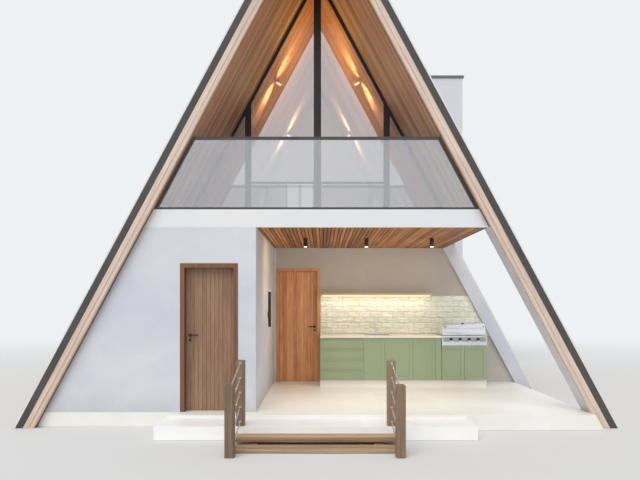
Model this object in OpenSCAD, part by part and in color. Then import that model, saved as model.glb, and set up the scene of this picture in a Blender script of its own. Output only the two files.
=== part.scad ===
// A-frame cabin with a covered porch, an outdoor kitchen, an upper balcony
// and a flat-topped block at the rear right corner.
// X runs to the right, Y away from the front, Z up; millimetres.
// The origin is on the middle line, in the front plane of the roof, on the ground.

/* [Roof] */
// Slope of both roof planes above the horizontal, degrees
roof_pitch = 61.8; // [58:0.1:65]
// Height of the outer boards at the ridge
ridge_h = 8030; // [7600:10:8400]
// Length of the roof from front to rear
roof_l = 7000; // [6400:10:7600]
// Thickness of the outer boards
cladding_t = 21; // [15:1:30]
// Width of the dark metal edge seen from the front, square to the slope
edge_band_w = 91; // [60:1:120]
// Width of the timber bargeboard seen from the front, square to the slope
fascia_w = 143; // [110:1:170]
// Thickness of the bargeboard and of the metal edge, along the building
fascia_t = 30; // [24:1:40]
// Width and depth of the shadow grooves in the bargeboard
fascia_groove = 8; // [5:1:10]
// Thickness of the board lining under the slopes
lining_t = 18; // [12:1:24]
// Thickness of the folded metal over the ridge
ridge_cap_t = 4; // [2:0.5:6]
// Width of each wing of the folded metal over the ridge
ridge_cap_w = 140; // [100:5:180]
// Depth of the free leg at the front right, along the building
leg_d = 290; // [240:10:340]
// How far the closed lower part of the right slope stands in front of the rear wall of the porch
side_wall_lead = 70; // [30:5:120]

/* [Levels] */
// Height of the porch and ground floor above the ground
floor_h = 210; // [150:10:300]
// Height of the porch ceiling above the ground
soffit_h = 2870; // [2800:10:2950]
// Thickness of the upper floor between the porch ceiling and the balcony
slab_t = 255; // [200:5:320]

/* [Walls] */
// Thickness of every masonry wall
wall_t = 150; // [120:5:180]
// Distance from the front of the roof to the front wall and the balcony edge
front_y = 90; // [60:5:140]
// Distance from the front of the roof to the rear wall of the porch
porch_back_y = 3020; // [2950:10:3200]
// Distance from the middle line to the porch side wall, on the left
porch_side_x = 872; // [860:1:920]
// Distance from the front of the roof to the glazed gable
gable_y = 1650; // [1500:10:1800]

/* [Steps and rails] */
// Width of both treads, over the posts beside them
stair_w = 2080; // [1900:10:2300]
// Width of the landing, which also serves the front door
landing_w = 4200; // [4000:10:4600]
// How far the porch floor stands in front of the roof
apron_d = 128; // [100:1:200]
// Depth of the landing in front of the porch floor
landing_d = 542; // [450:1:650]
// Drop from the porch floor to the landing
landing_drop = 35; // [20:1:50]
// Depth of each tread
tread_d = 300; // [270:5:340]
// Thickness of each tread
tread_t = 35; // [30:1:40]
// Height of the upper tread above the ground
upper_tread_h = 90; // [80:1:110]
// Width of the four square posts beside the steps
post_w = 110; // [90:1:130]
// Height of the posts at the foot of the steps
front_post_h = 835; // [750:5:900]
// Height of the tops of the posts on the landing
rear_post_h = 1030; // [950:5:1100]
// Distance from the foot of the steps to the middle of the front posts
front_post_gap = 138; // [110:1:200]
// Distance from the front of the landing to the middle of its posts
rear_post_inset = 82; // [70:1:120]
// Diameter of each rail between the posts
rail_d = 20; // [14:1:26]
// Number of rails on each side of the steps
rail_count = 5; // [2:1:6]
// Height between neighbouring rails
rail_pitch = 190; // [130:5:200]
// Distance from the top of a post to its highest rail
rail_top_inset = 40; // [30:1:60]

/* [Doors] */
// Height of the door openings above the floor
door_h = 2140; // [2000:10:2200]
// Width of the front door opening
front_door_w = 833; // [800:1:900]
// Distance from the middle line to the right side of the front door opening
front_door_x = 1129; // [1120:1:1180]
// Width of the porch door opening
porch_door_w = 880; // [820:1:920]
// Height of the porch door opening above the floor
porch_door_h = 2265; // [2100:5:2300]
// Distance from the porch side wall to the porch door opening
porch_door_gap = 38; // [30:1:60]
// Thickness of a door leaf
leaf_t = 40; // [34:1:48]
// Width of a door frame beside the leaf
frame_w = 50; // [40:1:60]
// Height of the stop that a leaf closes against
stop_w = 12; // [10:1:16]
// How far a door frame stands proud of each wall face
frame_proud = 5; // [2:1:12]
// Running gap round a door leaf
leaf_gap = 5; // [5:0.5:8]
// Number of upright planks on the front door
front_door_planks = 12; // [8:1:14]
// Number of upright planks on the porch door
porch_door_planks = 11; // [8:1:14]
// Height of the door levers above the floor
lever_h = 1100; // [1000:10:1200]

/* [Guard and gable glazing] */
// Height of the balcony guard above the balcony floor
guard_h = 1045; // [950:5:1100]
// Height of the guard top rail
guard_top = 40; // [30:1:50]
// Height of the guard bottom rail
guard_bottom = 30; // [20:1:40]
// Width of the raking side members of the guard
guard_side = 45; // [35:1:55]
// Depth of the guard frame, front to rear
guard_d = 40; // [30:1:60]
// Thickness of the guard glass
guard_glass_t = 12; // [8:1:16]
// Depth of the black gable frame, front to rear
gable_frame_d = 60; // [50:1:80]
// Width of the raking members of the gable frame
gable_rake_w = 55; // [45:1:70]
// Width of the middle post of the gable frame
gable_mid_w = 127; // [90:1:140]
// Width of the two side posts of the gable frame
gable_side_w = 108; // [70:1:120]
// Distance from the middle line to each side post
gable_side_x = 1200; // [1100:5:1300]
// Height of the sill member of the gable frame
gable_sill = 50; // [40:1:70]
// Height of the low cross bar of the gable frame above the balcony floor
gable_bar_h = 725; // [600:5:900]
// Thickness of the low cross bar, seen from the front
gable_bar_w = 32; // [24:1:50]
// Thickness of the window glass
glass_t = 24; // [16:1:28]

/* [Kitchen] */
// Depth of the counter from the rear wall of the porch
counter_d = 650; // [600:5:700]
// Height of the worktop above the floor
counter_h = 960; // [900:5:1000]
// Thickness of the worktop
worktop_t = 40; // [25:1:50]
// Length of the worktop
counter_l = 2274; // [2200:1:2300]
// Height of the plinth under the cabinets
plinth_h = 130; // [100:5:150]
// Setback of the plinth behind the cabinet fronts
plinth_back = 20; // [10:5:60]
// Width of the drawer stack
drawers_w = 810; // [760:5:830]
// Number of drawers in the stack
drawer_count = 4; // [2:1:5]
// Width of the cabinet door beside the drawers
first_door_w = 400; // [360:5:420]
// Width of the cabinet door under the sink
sink_door_w = 525; // [480:5:540]
// Width of the cabinet door beyond the sink
last_door_w = 425; // [380:5:440]
// Width of the flat border round each front panel
panel_border = 60; // [40:1:70]
// Depth of each recessed front panel
panel_sink = 10; // [3:1:14]
// Width of the gaps between the fronts
front_gap = 5; // [3:1:6]
// Thickness of the tiled splashback
splash_t = 12; // [8:1:18]
// Height of the shelf above the worktop
shelf_above = 757; // [700:5:800]
// Thickness of the shelf
shelf_t = 45; // [30:1:60]
// Depth of the shelf
shelf_d = 220; // [180:5:260]
// Length of the shelf
shelf_l = 2184; // [2000:1:2250]
// Width of the sink bowl
sink_w = 500; // [400:5:600]
// Front to rear size of the sink bowl
sink_d = 380; // [320:5:420]
// Depth of the sink bowl
sink_depth = 180; // [140:5:200]
// Distance from the left end of the worktop to the middle of the sink
sink_x = 1084; // [1000:1:1200]
// Height of the tap above the worktop
tap_h = 290; // [240:5:340]

/* [Grill] */
// Width of the grill housing
grill_w = 840; // [820:5:870]
// Radius of the rolling hood
hood_r = 230; // [210:1:240]
// Thickness of the hood shell
hood_t = 8; // [5:1:10]
// Height of the grill front panel
grill_panel_h = 140; // [120:5:160]

/* [Lights] */
// Diameter of the ceiling spots
spot_d = 70; // [60:1:90]
// Length of the ceiling spots
spot_l = 143; // [110:1:160]
// Length of the lamp on the porch side wall
wall_lamp_l = 630; // [500:10:700]
// Length of the lamps on the upper slopes
sconce_l = 50; // [40:5:80]

/* [Rear block] */
// Width of the rear block
tower_w = 3840; // [3600:10:4000]
// Distance from the middle line to its right face
tower_right_x = 3940; // [3850:10:4050]
// Depth of the rear block
tower_d = 2400; // [2000:10:2800]
// Thickness of the metal coping
coping_t = 58; // [40:1:70]
// Overhang of the coping on each side
coping_over = 30; // [20:1:40]
// Height of the parapet above the flat roof
parapet_h = 200; // [150:10:300]
// Width of the rear windows on the ground floor and in the rear block
window_w = 1000; // [800:10:1200]
// Width of the window in the rear gable
gable_window_w = 760; // [600:10:780]
// Height of the rear windows
window_h = 1100; // [900:10:1200]
// Height of a window sill above its floor
sill_h = 950; // [850:10:1050]

/* [Hidden] */
$fn = 48;

seat = 0.3;
past = 1;

// Vertical drop of a roof face that lies this far inside another one
function drop(t) = t / cos(roof_pitch);
// Distance from the middle line to a roof face with this apex, at height z
function face_x(apex, z) = (apex - z) / tan(roof_pitch);

boards_apex = ridge_h;
band_apex = boards_apex - drop(cladding_t);
fascia_apex = band_apex - drop(edge_band_w);
inner_apex = fascia_apex - drop(fascia_w);
lining_apex = inner_apex + drop(lining_t);
room_apex = inner_apex - drop(seat);
upper_h = soffit_h + slab_t;
side_wall_y = porch_back_y - side_wall_lead;

floor_back_y = roof_l;
front_wall_back = front_y + wall_t;
porch_back_far = porch_back_y + wall_t;
side_wall_out = porch_side_x + wall_t;
porch_door_x = porch_side_x - porch_door_gap;
kitchen_x = -porch_door_x + porch_door_w;

// Solid between two heights, depths and side distances
module box(x0, x1, y0, y1, z0, z1) {
    translate([x0, y0, z0])
        cube([x1 - x0, y1 - y0, z1 - z0]);
}

// Outline drawn in X and Z, carried from y0 to y1
module along(y0, y1) {
    translate([0, y1, 0])
        rotate([90, 0, 0])
            linear_extrude(y1 - y0)
                children();
}

// Mirrors a right-hand piece to the left where side is below zero
module on_side(side) {
    mirror([side < 0 ? 1 : 0, 0, 0])
        children();
}

// Section of a roof layer between two apex heights and two levels, right side
module layer_outline(outer, inner, z0, z1) {
    polygon([
        [face_x(outer, z0), z0],
        [face_x(outer, min(z1, outer)), min(z1, outer)],
        [face_x(inner, min(z1, inner)), min(z1, inner)],
        [face_x(inner, z0), z0]
    ]);
}

// Outline of the space between both inner roof faces, between two levels
module room_outline(apex, z0, z1, left_x, right_x) {
    intersection() {
        polygon([
            [-face_x(apex, z0), z0],
            [face_x(apex, z0), z0],
            [face_x(apex, min(z1, apex)), min(z1, apex)],
            [-face_x(apex, min(z1, apex)), min(z1, apex)]
        ]);
        translate([left_x, z0])
            square([right_x - left_x, z1 - z0]);
    }
}

wide = ridge_h;

// Floors and steps

landing_h = floor_h - landing_drop;
landing_y = -apron_d - landing_d;
upper_tread_y = landing_y - tread_d;
foot_y = upper_tread_y - tread_d;
bearer_w = 120;
bearer_inset = 260;
bearer_setback = 75;
bearer_x = stair_w / 2 - bearer_inset;

module floor_slab() {
    color("blanchedalmond") {
        along(front_y, floor_back_y)
            room_outline(room_apex, 0, floor_h, -wide, wide);
        along(-apron_d, front_y)
            room_outline(room_apex, 0, floor_h, -landing_w / 2, wide);
    }
}

module landing() {
    color("whitesmoke")
        box(-landing_w / 2, landing_w / 2, landing_y, -apron_d, 0, landing_h);
}

module steps() {
    color("tan") {
        box(-stair_w / 2, stair_w / 2, upper_tread_y, landing_y,
            upper_tread_h - tread_t, upper_tread_h);
        box(-stair_w / 2, stair_w / 2, foot_y, upper_tread_y - tread_t, 0, tread_t);
        for (x = [-bearer_x, bearer_x]) {
            box(x - bearer_w / 2, x + bearer_w / 2, upper_tread_y + bearer_setback, landing_y,
                0, upper_tread_h - tread_t);
            box(x - bearer_w / 2, x + bearer_w / 2, upper_tread_y - tread_t, landing_y, 0, tread_t);
        }
    }
}

post_x = (stair_w - post_w) / 2;
front_post_y = foot_y - front_post_gap;
rear_post_y = landing_y + rear_post_inset;

module stair_posts() {
    color("burlywood")
        for (side = [-1, 1]) {
            box(side * post_x - post_w / 2, side * post_x + post_w / 2,
                front_post_y - post_w / 2, front_post_y + post_w / 2, 0, front_post_h);
            box(side * post_x - post_w / 2, side * post_x + post_w / 2,
                rear_post_y - post_w / 2, rear_post_y + post_w / 2, landing_h, rear_post_h);
        }
}

rail_run = rear_post_y - front_post_y - post_w;
rail_rise = rear_post_h - front_post_h;
rail_angle = atan(rail_rise / rail_run);

// Rails that end square on the faces of both posts
module stair_rails(side) {
    intersection() {
        for (i = [0 : rail_count - 1])
            translate([side * post_x, front_post_y + post_w / 2,
                       front_post_h - rail_top_inset - i * rail_pitch])
                rotate([rail_angle, 0, 0])
                    translate([0, -rail_d, 0])
                        rotate([-90, 0, 0])
                            cylinder(d = rail_d, h = rail_run / cos(rail_angle) + 2 * rail_d);
        box(side * post_x - post_w / 2, side * post_x + post_w / 2,
            front_post_y + post_w / 2, rear_post_y - post_w / 2, 0, rear_post_h);
    }
}

module stair_rails_left() {
    color("gainsboro")
        stair_rails(-1);
}

module stair_rails_right() {
    color("gainsboro")
        stair_rails(1);
}

// Ground floor walls

front_door_left = -front_door_x - front_door_w;
front_door_top = floor_h + door_h;
porch_door_top = floor_h + porch_door_h;

module front_wall_left() {
    color("lightgray")
        along(front_y, front_wall_back)
            room_outline(room_apex, floor_h, soffit_h, -wide, front_door_left);
}

module front_wall_over_door() {
    color("lightgray")
        box(front_door_left, -front_door_x, front_y, front_wall_back, front_door_top, soffit_h);
}

module porch_side_wall() {
    color("lightgray") {
        box(-front_door_x, -porch_side_x, front_y, front_wall_back, floor_h, soffit_h);
        box(-side_wall_out, -porch_side_x, front_y, porch_back_far, floor_h, soffit_h);
        box(-side_wall_out, -porch_door_x, porch_back_y, porch_back_far, floor_h, soffit_h);
    }
}

module back_wall_right() {
    color("lightgray")
        along(porch_back_y, porch_back_far)
            room_outline(room_apex, floor_h, soffit_h, kitchen_x, wide);
}

module back_wall_over_door() {
    color("lightgray")
        box(-porch_door_x, kitchen_x, porch_back_y, porch_back_far, porch_door_top, soffit_h);
}

// Upper floor

ceiling_t = 20;
drip_w = 60;
ceiling_inset = 2;
ceiling_z = soffit_h + ceiling_inset;
ceiling_top = ceiling_z + ceiling_t;

module upper_floor_slab() {
    color("whitesmoke")
        difference() {
            along(front_y, floor_back_y)
                room_outline(room_apex, soffit_h, upper_h, -wide, wide);
            along(front_y + drip_w, porch_back_y)
                room_outline(inner_apex + drop(past), soffit_h - past, ceiling_top,
                             -porch_side_x, wide);
        }
}

module porch_ceiling() {
    color("peru")
        along(front_y + drip_w + seat, porch_back_y - seat)
            room_outline(room_apex, ceiling_z, ceiling_top,
                         -porch_side_x + seat, wide);
}

// Roof

module roof_core(z0, z1, y0, y1) {
    along(y0, y1) {
        layer_outline(band_apex, inner_apex, z0, min(z1, upper_h));
        if (z1 > upper_h)
            layer_outline(band_apex, lining_apex + drop(seat), upper_h, z1);
    }
}

// Space under the edge of the right slope, cut square to the slope, with the edge this much higher
module under_edge(y0, y1, lift) {
    along(y0, y1)
        translate([face_x(inner_apex, soffit_h), soffit_h])
            rotate([0, 0, 90 - roof_pitch])
                translate([-past, lift - wide])
                    square([wide, wide]);
}

module roof_left() {
    color("dimgray")
        on_side(-1)
            roof_core(0, ridge_h, fascia_t, roof_l - fascia_t);
}

module roof_right() {
    color("dimgray")
        difference() {
            roof_core(soffit_h, ridge_h, fascia_t, roof_l - fascia_t);
            under_edge(leg_d, side_wall_y, 0);
            under_edge(side_wall_y - past, roof_l, seat);
        }
}

module right_leg() {
    color("lightgray")
        roof_core(0, soffit_h, fascia_t, leg_d);
}

// Carried up to the edge of the slope, so that no core shows over the side opening
module right_rear_wall() {
    color("lightgray")
        intersection() {
            roof_core(0, upper_h, side_wall_y, roof_l - fascia_t);
            under_edge(side_wall_y, roof_l, 0);
        }
}

module cladding_left() {
    color("burlywood")
        on_side(-1)
            along(0, roof_l)
                layer_outline(boards_apex, band_apex + drop(seat), 0, ridge_h);
}

module cladding_right() {
    color("burlywood")
        difference() {
            along(0, roof_l)
                layer_outline(boards_apex, band_apex + drop(seat), 0, ridge_h);
            under_edge(leg_d, side_wall_y, 0);
        }
}

cap_foot = ridge_h - ridge_cap_w * sin(roof_pitch);

module roof_edge_trim() {
    color("darkslategray")
        for (side = [-1, 1])
            on_side(side) {
                for (y = [0, roof_l - fascia_t])
                    along(y, y + fascia_t)
                        layer_outline(band_apex, fascia_apex, 0, ridge_h);
                along(0, roof_l)
                    layer_outline(boards_apex + drop(ridge_cap_t), boards_apex + drop(seat),
                                  cap_foot, ridge_h * 2);
            }
}

// The bargeboard is laid up from two boards with three shadow grooves
fascia_outer_share = 0.56;
fascia_outer_w = (fascia_w - 3 * fascia_groove) * fascia_outer_share;

module fascia(side) {
    on_side(side)
        difference() {
            for (y = [0, roof_l - fascia_t])
                along(y, y + fascia_t)
                    layer_outline(fascia_apex - drop(seat), inner_apex, 0, ridge_h);
            for (d = [0, fascia_groove + fascia_outer_w, fascia_w - fascia_groove])
                along(-past, fascia_groove)
                    layer_outline(fascia_apex - drop(d), fascia_apex - drop(d + fascia_groove),
                                  -past, ridge_h);
        }
}

module fascia_left() {
    color("wheat")
        fascia(-1);
}

module fascia_right() {
    color("wheat")
        fascia(1);
}

module lining() {
    along(fascia_t, roof_l - fascia_t)
        layer_outline(lining_apex, inner_apex, upper_h, ridge_h);
}

module lining_left() {
    color("chocolate")
        on_side(-1)
            lining();
}

module lining_right() {
    color("chocolate")
        lining();
}

// Balcony guard

guard_z = upper_h + guard_h;

module guard_outline(side_w, bottom, top) {
    room_outline(room_apex - drop(side_w), upper_h + bottom, guard_z - top, -wide, wide);
}

module guard_frame() {
    color("darkslategray")
        along(front_y, front_y + guard_d)
            difference() {
                guard_outline(0, 0, 0);
                guard_outline(guard_side, guard_bottom, guard_top);
            }
}

module guard_glass() {
    color("lightblue", 0.4)
        along(front_y + (guard_d - guard_glass_t) / 2, front_y + (guard_d + guard_glass_t) / 2)
            guard_outline(guard_side + seat, guard_bottom + seat, guard_top + seat);
}

// Glazed gable

module gable_post(x, w) {
    translate([x - w / 2, upper_h])
        square([w, ridge_h]);
}

// Low bar between the two side posts
module gable_bar(clear) {
    translate([-gable_side_x, upper_h + gable_bar_h - clear])
        square([2 * gable_side_x, gable_bar_w + 2 * clear]);
}

// All six panes, each held clear of its frame by the given distance
module gable_panes(clear) {
    difference() {
        room_outline(room_apex - drop(gable_rake_w + clear), upper_h + gable_sill + clear,
                     ridge_h, -wide, wide);
        gable_post(0, gable_mid_w + 2 * clear);
        gable_bar(clear);
        for (side = [-1, 1])
            gable_post(side * gable_side_x, gable_side_w + 2 * clear);
    }
}

module gable_frame() {
    color("black")
        along(gable_y, gable_y + gable_frame_d)
            difference() {
                room_outline(room_apex, upper_h, ridge_h, -wide, wide);
                gable_panes(0);
            }
}

module gable_glass() {
    color("lightblue", 0.4)
        along(gable_y + (gable_frame_d - glass_t) / 2, gable_y + (gable_frame_d + glass_t) / 2)
            gable_panes(seat);
}

// Rear walls, windows and the rear block

rear_wall_y = roof_l - wall_t;
rear_far_y = roof_l + tower_d;
tower_left_x = tower_right_x - tower_w;
tower_wall_top = ridge_h - coping_t;
flat_roof_top = tower_wall_top - parapet_h;

lower_window_x = -2000;
gable_window_gap = 240;
upper_window_x = tower_left_x - gable_window_gap - gable_window_w / 2;
tower_window_x = (tower_left_x + tower_right_x) / 2;

// Each row gives the middle, the width, the sill height and the outer face of a window
windows = [
    [lower_window_x, window_w, floor_h + sill_h, roof_l],
    [upper_window_x, gable_window_w, upper_h + sill_h, roof_l],
    [tower_window_x, window_w, floor_h + sill_h, rear_far_y],
    [tower_window_x, window_w, upper_h + sill_h, rear_far_y]
];

module window_holes() {
    for (w = windows)
        box(w[0] - w[1] / 2, w[0] + w[1] / 2, w[3] - wall_t - past, w[3] + past,
            w[2], w[2] + window_h);
}

module rear_wall() {
    color("lightgray")
        difference() {
            along(rear_wall_y, roof_l)
                room_outline(room_apex, floor_h, soffit_h, -wide, wide);
            window_holes();
        }
}

module rear_gable_wall() {
    color("lightgray")
        difference() {
            along(rear_wall_y, roof_l)
                room_outline(room_apex, upper_h, ridge_h, -wide, wide);
            window_holes();
        }
}

window_frame_w = 50;
window_frame_d = 60;

// One of the two lights of a window, set back from its frame by the given distance
module window_light(w, half, y0, y1, clear) {
    middle = w[0] + half * w[1] / 4;
    light_w = w[1] / 2 - 1.5 * window_frame_w - 2 * clear;
    box(middle - light_w / 2, middle + light_w / 2, y0, y1,
        w[2] + window_frame_w + clear, w[2] + window_h - window_frame_w - clear);
}

module rear_window_frames() {
    color("black")
        for (w = windows)
            difference() {
                box(w[0] - w[1] / 2 + seat, w[0] + w[1] / 2 - seat,
                    w[3] - (wall_t + window_frame_d) / 2, w[3] - (wall_t - window_frame_d) / 2,
                    w[2], w[2] + window_h - seat);
                for (half = [-1, 1])
                    window_light(w, half, w[3] - wall_t, w[3], 0);
            }
}

module rear_window_glass() {
    color("lightblue", 0.4)
        for (w = windows)
            for (half = [-1, 1])
                window_light(w, half, w[3] - (wall_t + glass_t) / 2, w[3] - (wall_t - glass_t) / 2, seat);
}

module tower_side_walls() {
    color("gainsboro") {
        box(tower_left_x, tower_left_x + wall_t, roof_l + wall_t, rear_far_y - wall_t,
            0, tower_wall_top);
        box(tower_right_x - wall_t, tower_right_x, roof_l + wall_t, rear_far_y - wall_t,
            0, tower_wall_top);
    }
}

module tower_end_walls() {
    color("gainsboro")
        difference() {
            for (y = [roof_l, rear_far_y - wall_t])
                box(tower_left_x, tower_right_x, y, y + wall_t, 0, tower_wall_top);
            window_holes();
        }
}

module tower_slabs() {
    color("gainsboro")
        for (z = [[0, floor_h], [soffit_h, upper_h], [flat_roof_top - slab_t, flat_roof_top]])
            box(tower_left_x + wall_t, tower_right_x - wall_t, roof_l + wall_t,
                rear_far_y - wall_t, z[0], z[1]);
}

module tower_coping() {
    color("darkslategray")
        difference() {
            box(tower_left_x - coping_over, tower_right_x + coping_over, roof_l - coping_over,
                rear_far_y + coping_over, tower_wall_top, ridge_h);
            box(tower_left_x + wall_t + coping_over, tower_right_x - wall_t - coping_over,
                roof_l + wall_t + coping_over, rear_far_y - wall_t - coping_over,
                tower_wall_top - past, ridge_h + past);
        }
}

// Doors: drawn with the hinges on the right, the wall face at Y zero and the floor at Z zero

frame_back = wall_t + frame_proud;
leaf_front = frame_back - leaf_t;
pin_r = 4;
pin_fit = 0.3;
knuckle_r = 7;
knuckle_l = 45;
knuckle_off = knuckle_r + 1;
plate_w = 16;
plate_t = 3;
plank_groove = 3;
hinge_count = 3;
hinge_inset = 220;

function hinge_z(h, i) = hinge_inset + i * (h - 2 * hinge_inset - 2 * knuckle_l) / (hinge_count - 1);
function pin_x(w) = w - frame_w - leaf_gap / 2;
pin_y = frame_back + knuckle_off;

module door_frame(w, h) {
    difference() {
        box(0, w, -frame_proud, frame_back, 0, h);
        box(frame_w + stop_w, w - frame_w - stop_w, -frame_proud - past, frame_back + past,
            -past, h - frame_w - stop_w);
        box(frame_w, w - frame_w, leaf_front - leaf_gap, frame_back + past, -past, h - frame_w);
    }
    for (i = [0 : hinge_count - 1])
        translate([pin_x(w), pin_y, hinge_z(h, i)]) {
            cylinder(r = knuckle_r, h = knuckle_l);
            cylinder(r = pin_r, h = 2 * knuckle_l - plate_t);
            box(0, plate_w, -knuckle_off, plate_t - knuckle_off, 0, knuckle_l);
        }
}

module door_leaf(w, h, planks) {
    leaf_w = w - 2 * frame_w - 2 * leaf_gap;
    difference() {
        box(frame_w + leaf_gap, w - frame_w - leaf_gap, leaf_front, frame_back,
            leaf_gap, h - frame_w - leaf_gap);
        for (i = [1 : planks - 1])
            box(frame_w + leaf_gap + i * leaf_w / planks - plank_groove / 2,
                frame_w + leaf_gap + i * leaf_w / planks + plank_groove / 2,
                leaf_front - past, leaf_front + plank_groove, leaf_gap - past, h);
    }
    for (i = [0 : hinge_count - 1])
        translate([pin_x(w), pin_y, hinge_z(h, i) + knuckle_l + pin_fit])
            difference() {
                union() {
                    cylinder(r = knuckle_r, h = knuckle_l - pin_fit);
                    box(-plate_w, 0, -knuckle_off, plate_t - knuckle_off, 0, knuckle_l - pin_fit);
                }
                translate([0, 0, -past])
                    cylinder(r = pin_r + pin_fit, h = knuckle_l + 2 * past);
            }
}

rose_r = 25;
rose_t = 7;
key_rose_r = 19;
key_drop = 72;
lever_r = 9;
lever_l = 125;
lever_out = 48;
backset = 62;

// Lever and key rose on one face of a leaf, standing out along -Y
module lever() {
    rotate([90, 0, 0]) {
        cylinder(r = rose_r, h = rose_t);
        cylinder(r = lever_r, h = lever_out);
        translate([0, -key_drop, 0])
            cylinder(r = key_rose_r, h = rose_t);
    }
    translate([0, lever_r - lever_out, 0])
        rotate([0, 90, 0])
            cylinder(r = lever_r, h = lever_l);
}

module door_handle() {
    for (face = [0, 1])
        translate([frame_w + leaf_gap + backset, face == 0 ? leaf_front : frame_back, lever_h])
            mirror([0, face, 0])
                lever();
}

module front_door_place() {
    translate([front_door_left, front_y, floor_h])
        children();
}

module porch_door_place() {
    translate([kitchen_x, porch_back_y, floor_h])
        mirror([1, 0, 0])
            children();
}

module front_door_frame() {
    color("sienna")
        front_door_place()
            door_frame(front_door_w, door_h);
}

module front_door() {
    color("rosybrown")
        front_door_place()
            door_leaf(front_door_w, door_h, front_door_planks);
}

module front_door_handle() {
    color("black")
        front_door_place()
            door_handle();
}

module porch_door_frame() {
    color("sienna")
        porch_door_place()
            door_frame(porch_door_w, porch_door_h);
}

module porch_door() {
    color("peru")
        porch_door_place()
            door_leaf(porch_door_w, porch_door_h, porch_door_planks);
}

module porch_door_handle() {
    color("black")
        porch_door_place()
            door_handle();
}

// Kitchen

counter_y = porch_back_y - counter_d;
counter_end = kitchen_x + counter_l;
worktop_z = floor_h + counter_h;
cabinet_top = worktop_z - worktop_t;
cabinet_z = floor_h + plinth_h;
worktop_over = 20;
cabinet_y = counter_y + worktop_over;
grill_gap = 10;
grill_x = counter_end + grill_gap;
grill_end = grill_x + grill_w;
front_t = 20;
door_bottom_gap = 5;
hood_lift = 10;
hood_run = 6;
grill_floor_t = 20;
hood_z = worktop_z + hood_lift;
grill_tray_z = hood_z - hood_r - hood_run - grill_floor_t;
sink_mid = kitchen_x + sink_x;
sink_set = 110;
sink_front = counter_y + sink_set;
sink_wall = 6;

module cabinet_plinth() {
    color("whitesmoke")
        box(kitchen_x, grill_end, cabinet_y + front_t + plinth_back, porch_back_y, floor_h, cabinet_z);
}

// One framed front with a recessed panel
module framed_front(x0, x1, z0, z1) {
    difference() {
        box(x0, x1, cabinet_y, cabinet_y + front_t, z0, z1);
        box(x0 + panel_border, x1 - panel_border, cabinet_y - past, cabinet_y + panel_sink,
            z0 + panel_border, z1 - panel_border);
    }
}

front_z0 = cabinet_z + door_bottom_gap;
front_z1 = cabinet_top - front_gap;
drawer_h = (front_z1 - front_z0 + front_gap) / drawer_count;
first_door_x = kitchen_x + front_gap + drawers_w;
sink_door_x = first_door_x + first_door_w;
last_door_x = sink_door_x + sink_door_w;
filler_x = last_door_x + last_door_w;
grill_door_w = grill_w / 2;
grill_panel_z = cabinet_top - grill_panel_h;
drawer_border = 30;

module cabinets() {
    color("darkseagreen") {
        difference() {
            union() {
                box(kitchen_x, counter_end, cabinet_y + front_t, porch_back_y, cabinet_z, cabinet_top);
                box(counter_end, grill_end, cabinet_y + front_t, porch_back_y, cabinet_z, grill_tray_z);
            }
            box(sink_mid - sink_w / 2 - sink_wall - seat, sink_mid + sink_w / 2 + sink_wall + seat,
                sink_front - sink_wall - seat, sink_front + sink_d + sink_wall + seat,
                worktop_z - sink_depth - sink_wall - seat, worktop_z);
        }
        for (i = [0 : drawer_count - 1])
            difference() {
                box(kitchen_x + front_gap, kitchen_x + drawers_w, cabinet_y, cabinet_y + front_t,
                    front_z0 + i * drawer_h, front_z0 + (i + 1) * drawer_h - front_gap);
                box(kitchen_x + front_gap + drawer_border, kitchen_x + drawers_w - drawer_border,
                    cabinet_y - past, cabinet_y + panel_sink,
                    front_z0 + i * drawer_h + drawer_border,
                    front_z0 + (i + 1) * drawer_h - front_gap - drawer_border);
            }
        framed_front(first_door_x, sink_door_x - front_gap, front_z0, front_z1);
        framed_front(sink_door_x, last_door_x - front_gap, front_z0, front_z1);
        framed_front(last_door_x, filler_x - front_gap, front_z0, front_z1);
        box(filler_x, counter_end - front_gap, cabinet_y, cabinet_y + front_t, front_z0, front_z1);
        for (i = [0, 1])
            framed_front(grill_x + i * grill_door_w, grill_x + (i + 1) * grill_door_w - front_gap,
                         front_z0, grill_panel_z - front_gap);
    }
}

module worktop() {
    color("ivory")
        difference() {
            box(kitchen_x, counter_end, counter_y, porch_back_y - splash_t, cabinet_top, worktop_z);
            box(sink_mid - sink_w / 2 - sink_wall - seat, sink_mid + sink_w / 2 + sink_wall + seat,
                sink_front - sink_wall - seat, sink_front + sink_d + sink_wall + seat,
                cabinet_top - past, worktop_z + past);
        }
}

sink_rim = 12;
sink_rim_t = 2;

module sink() {
    color("silver")
        difference() {
            union() {
                box(sink_mid - sink_w / 2 - sink_wall, sink_mid + sink_w / 2 + sink_wall,
                    sink_front - sink_wall, sink_front + sink_d + sink_wall,
                    worktop_z - sink_depth - sink_wall, worktop_z + sink_rim_t);
                box(sink_mid - sink_w / 2 - sink_rim, sink_mid + sink_w / 2 + sink_rim,
                    sink_front - sink_rim, sink_front + sink_d + sink_rim,
                    worktop_z, worktop_z + sink_rim_t);
            }
            box(sink_mid - sink_w / 2, sink_mid + sink_w / 2, sink_front, sink_front + sink_d,
                worktop_z - sink_depth, worktop_z + sink_rim_t + past);
        }
}

tap_r = 11;
tap_base_r = 24;
tap_base_h = 30;
tap_bend_r = 75;
tap_behind = 60;
tap_y = sink_front + sink_d + tap_behind;
tap_drop = 70;

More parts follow.
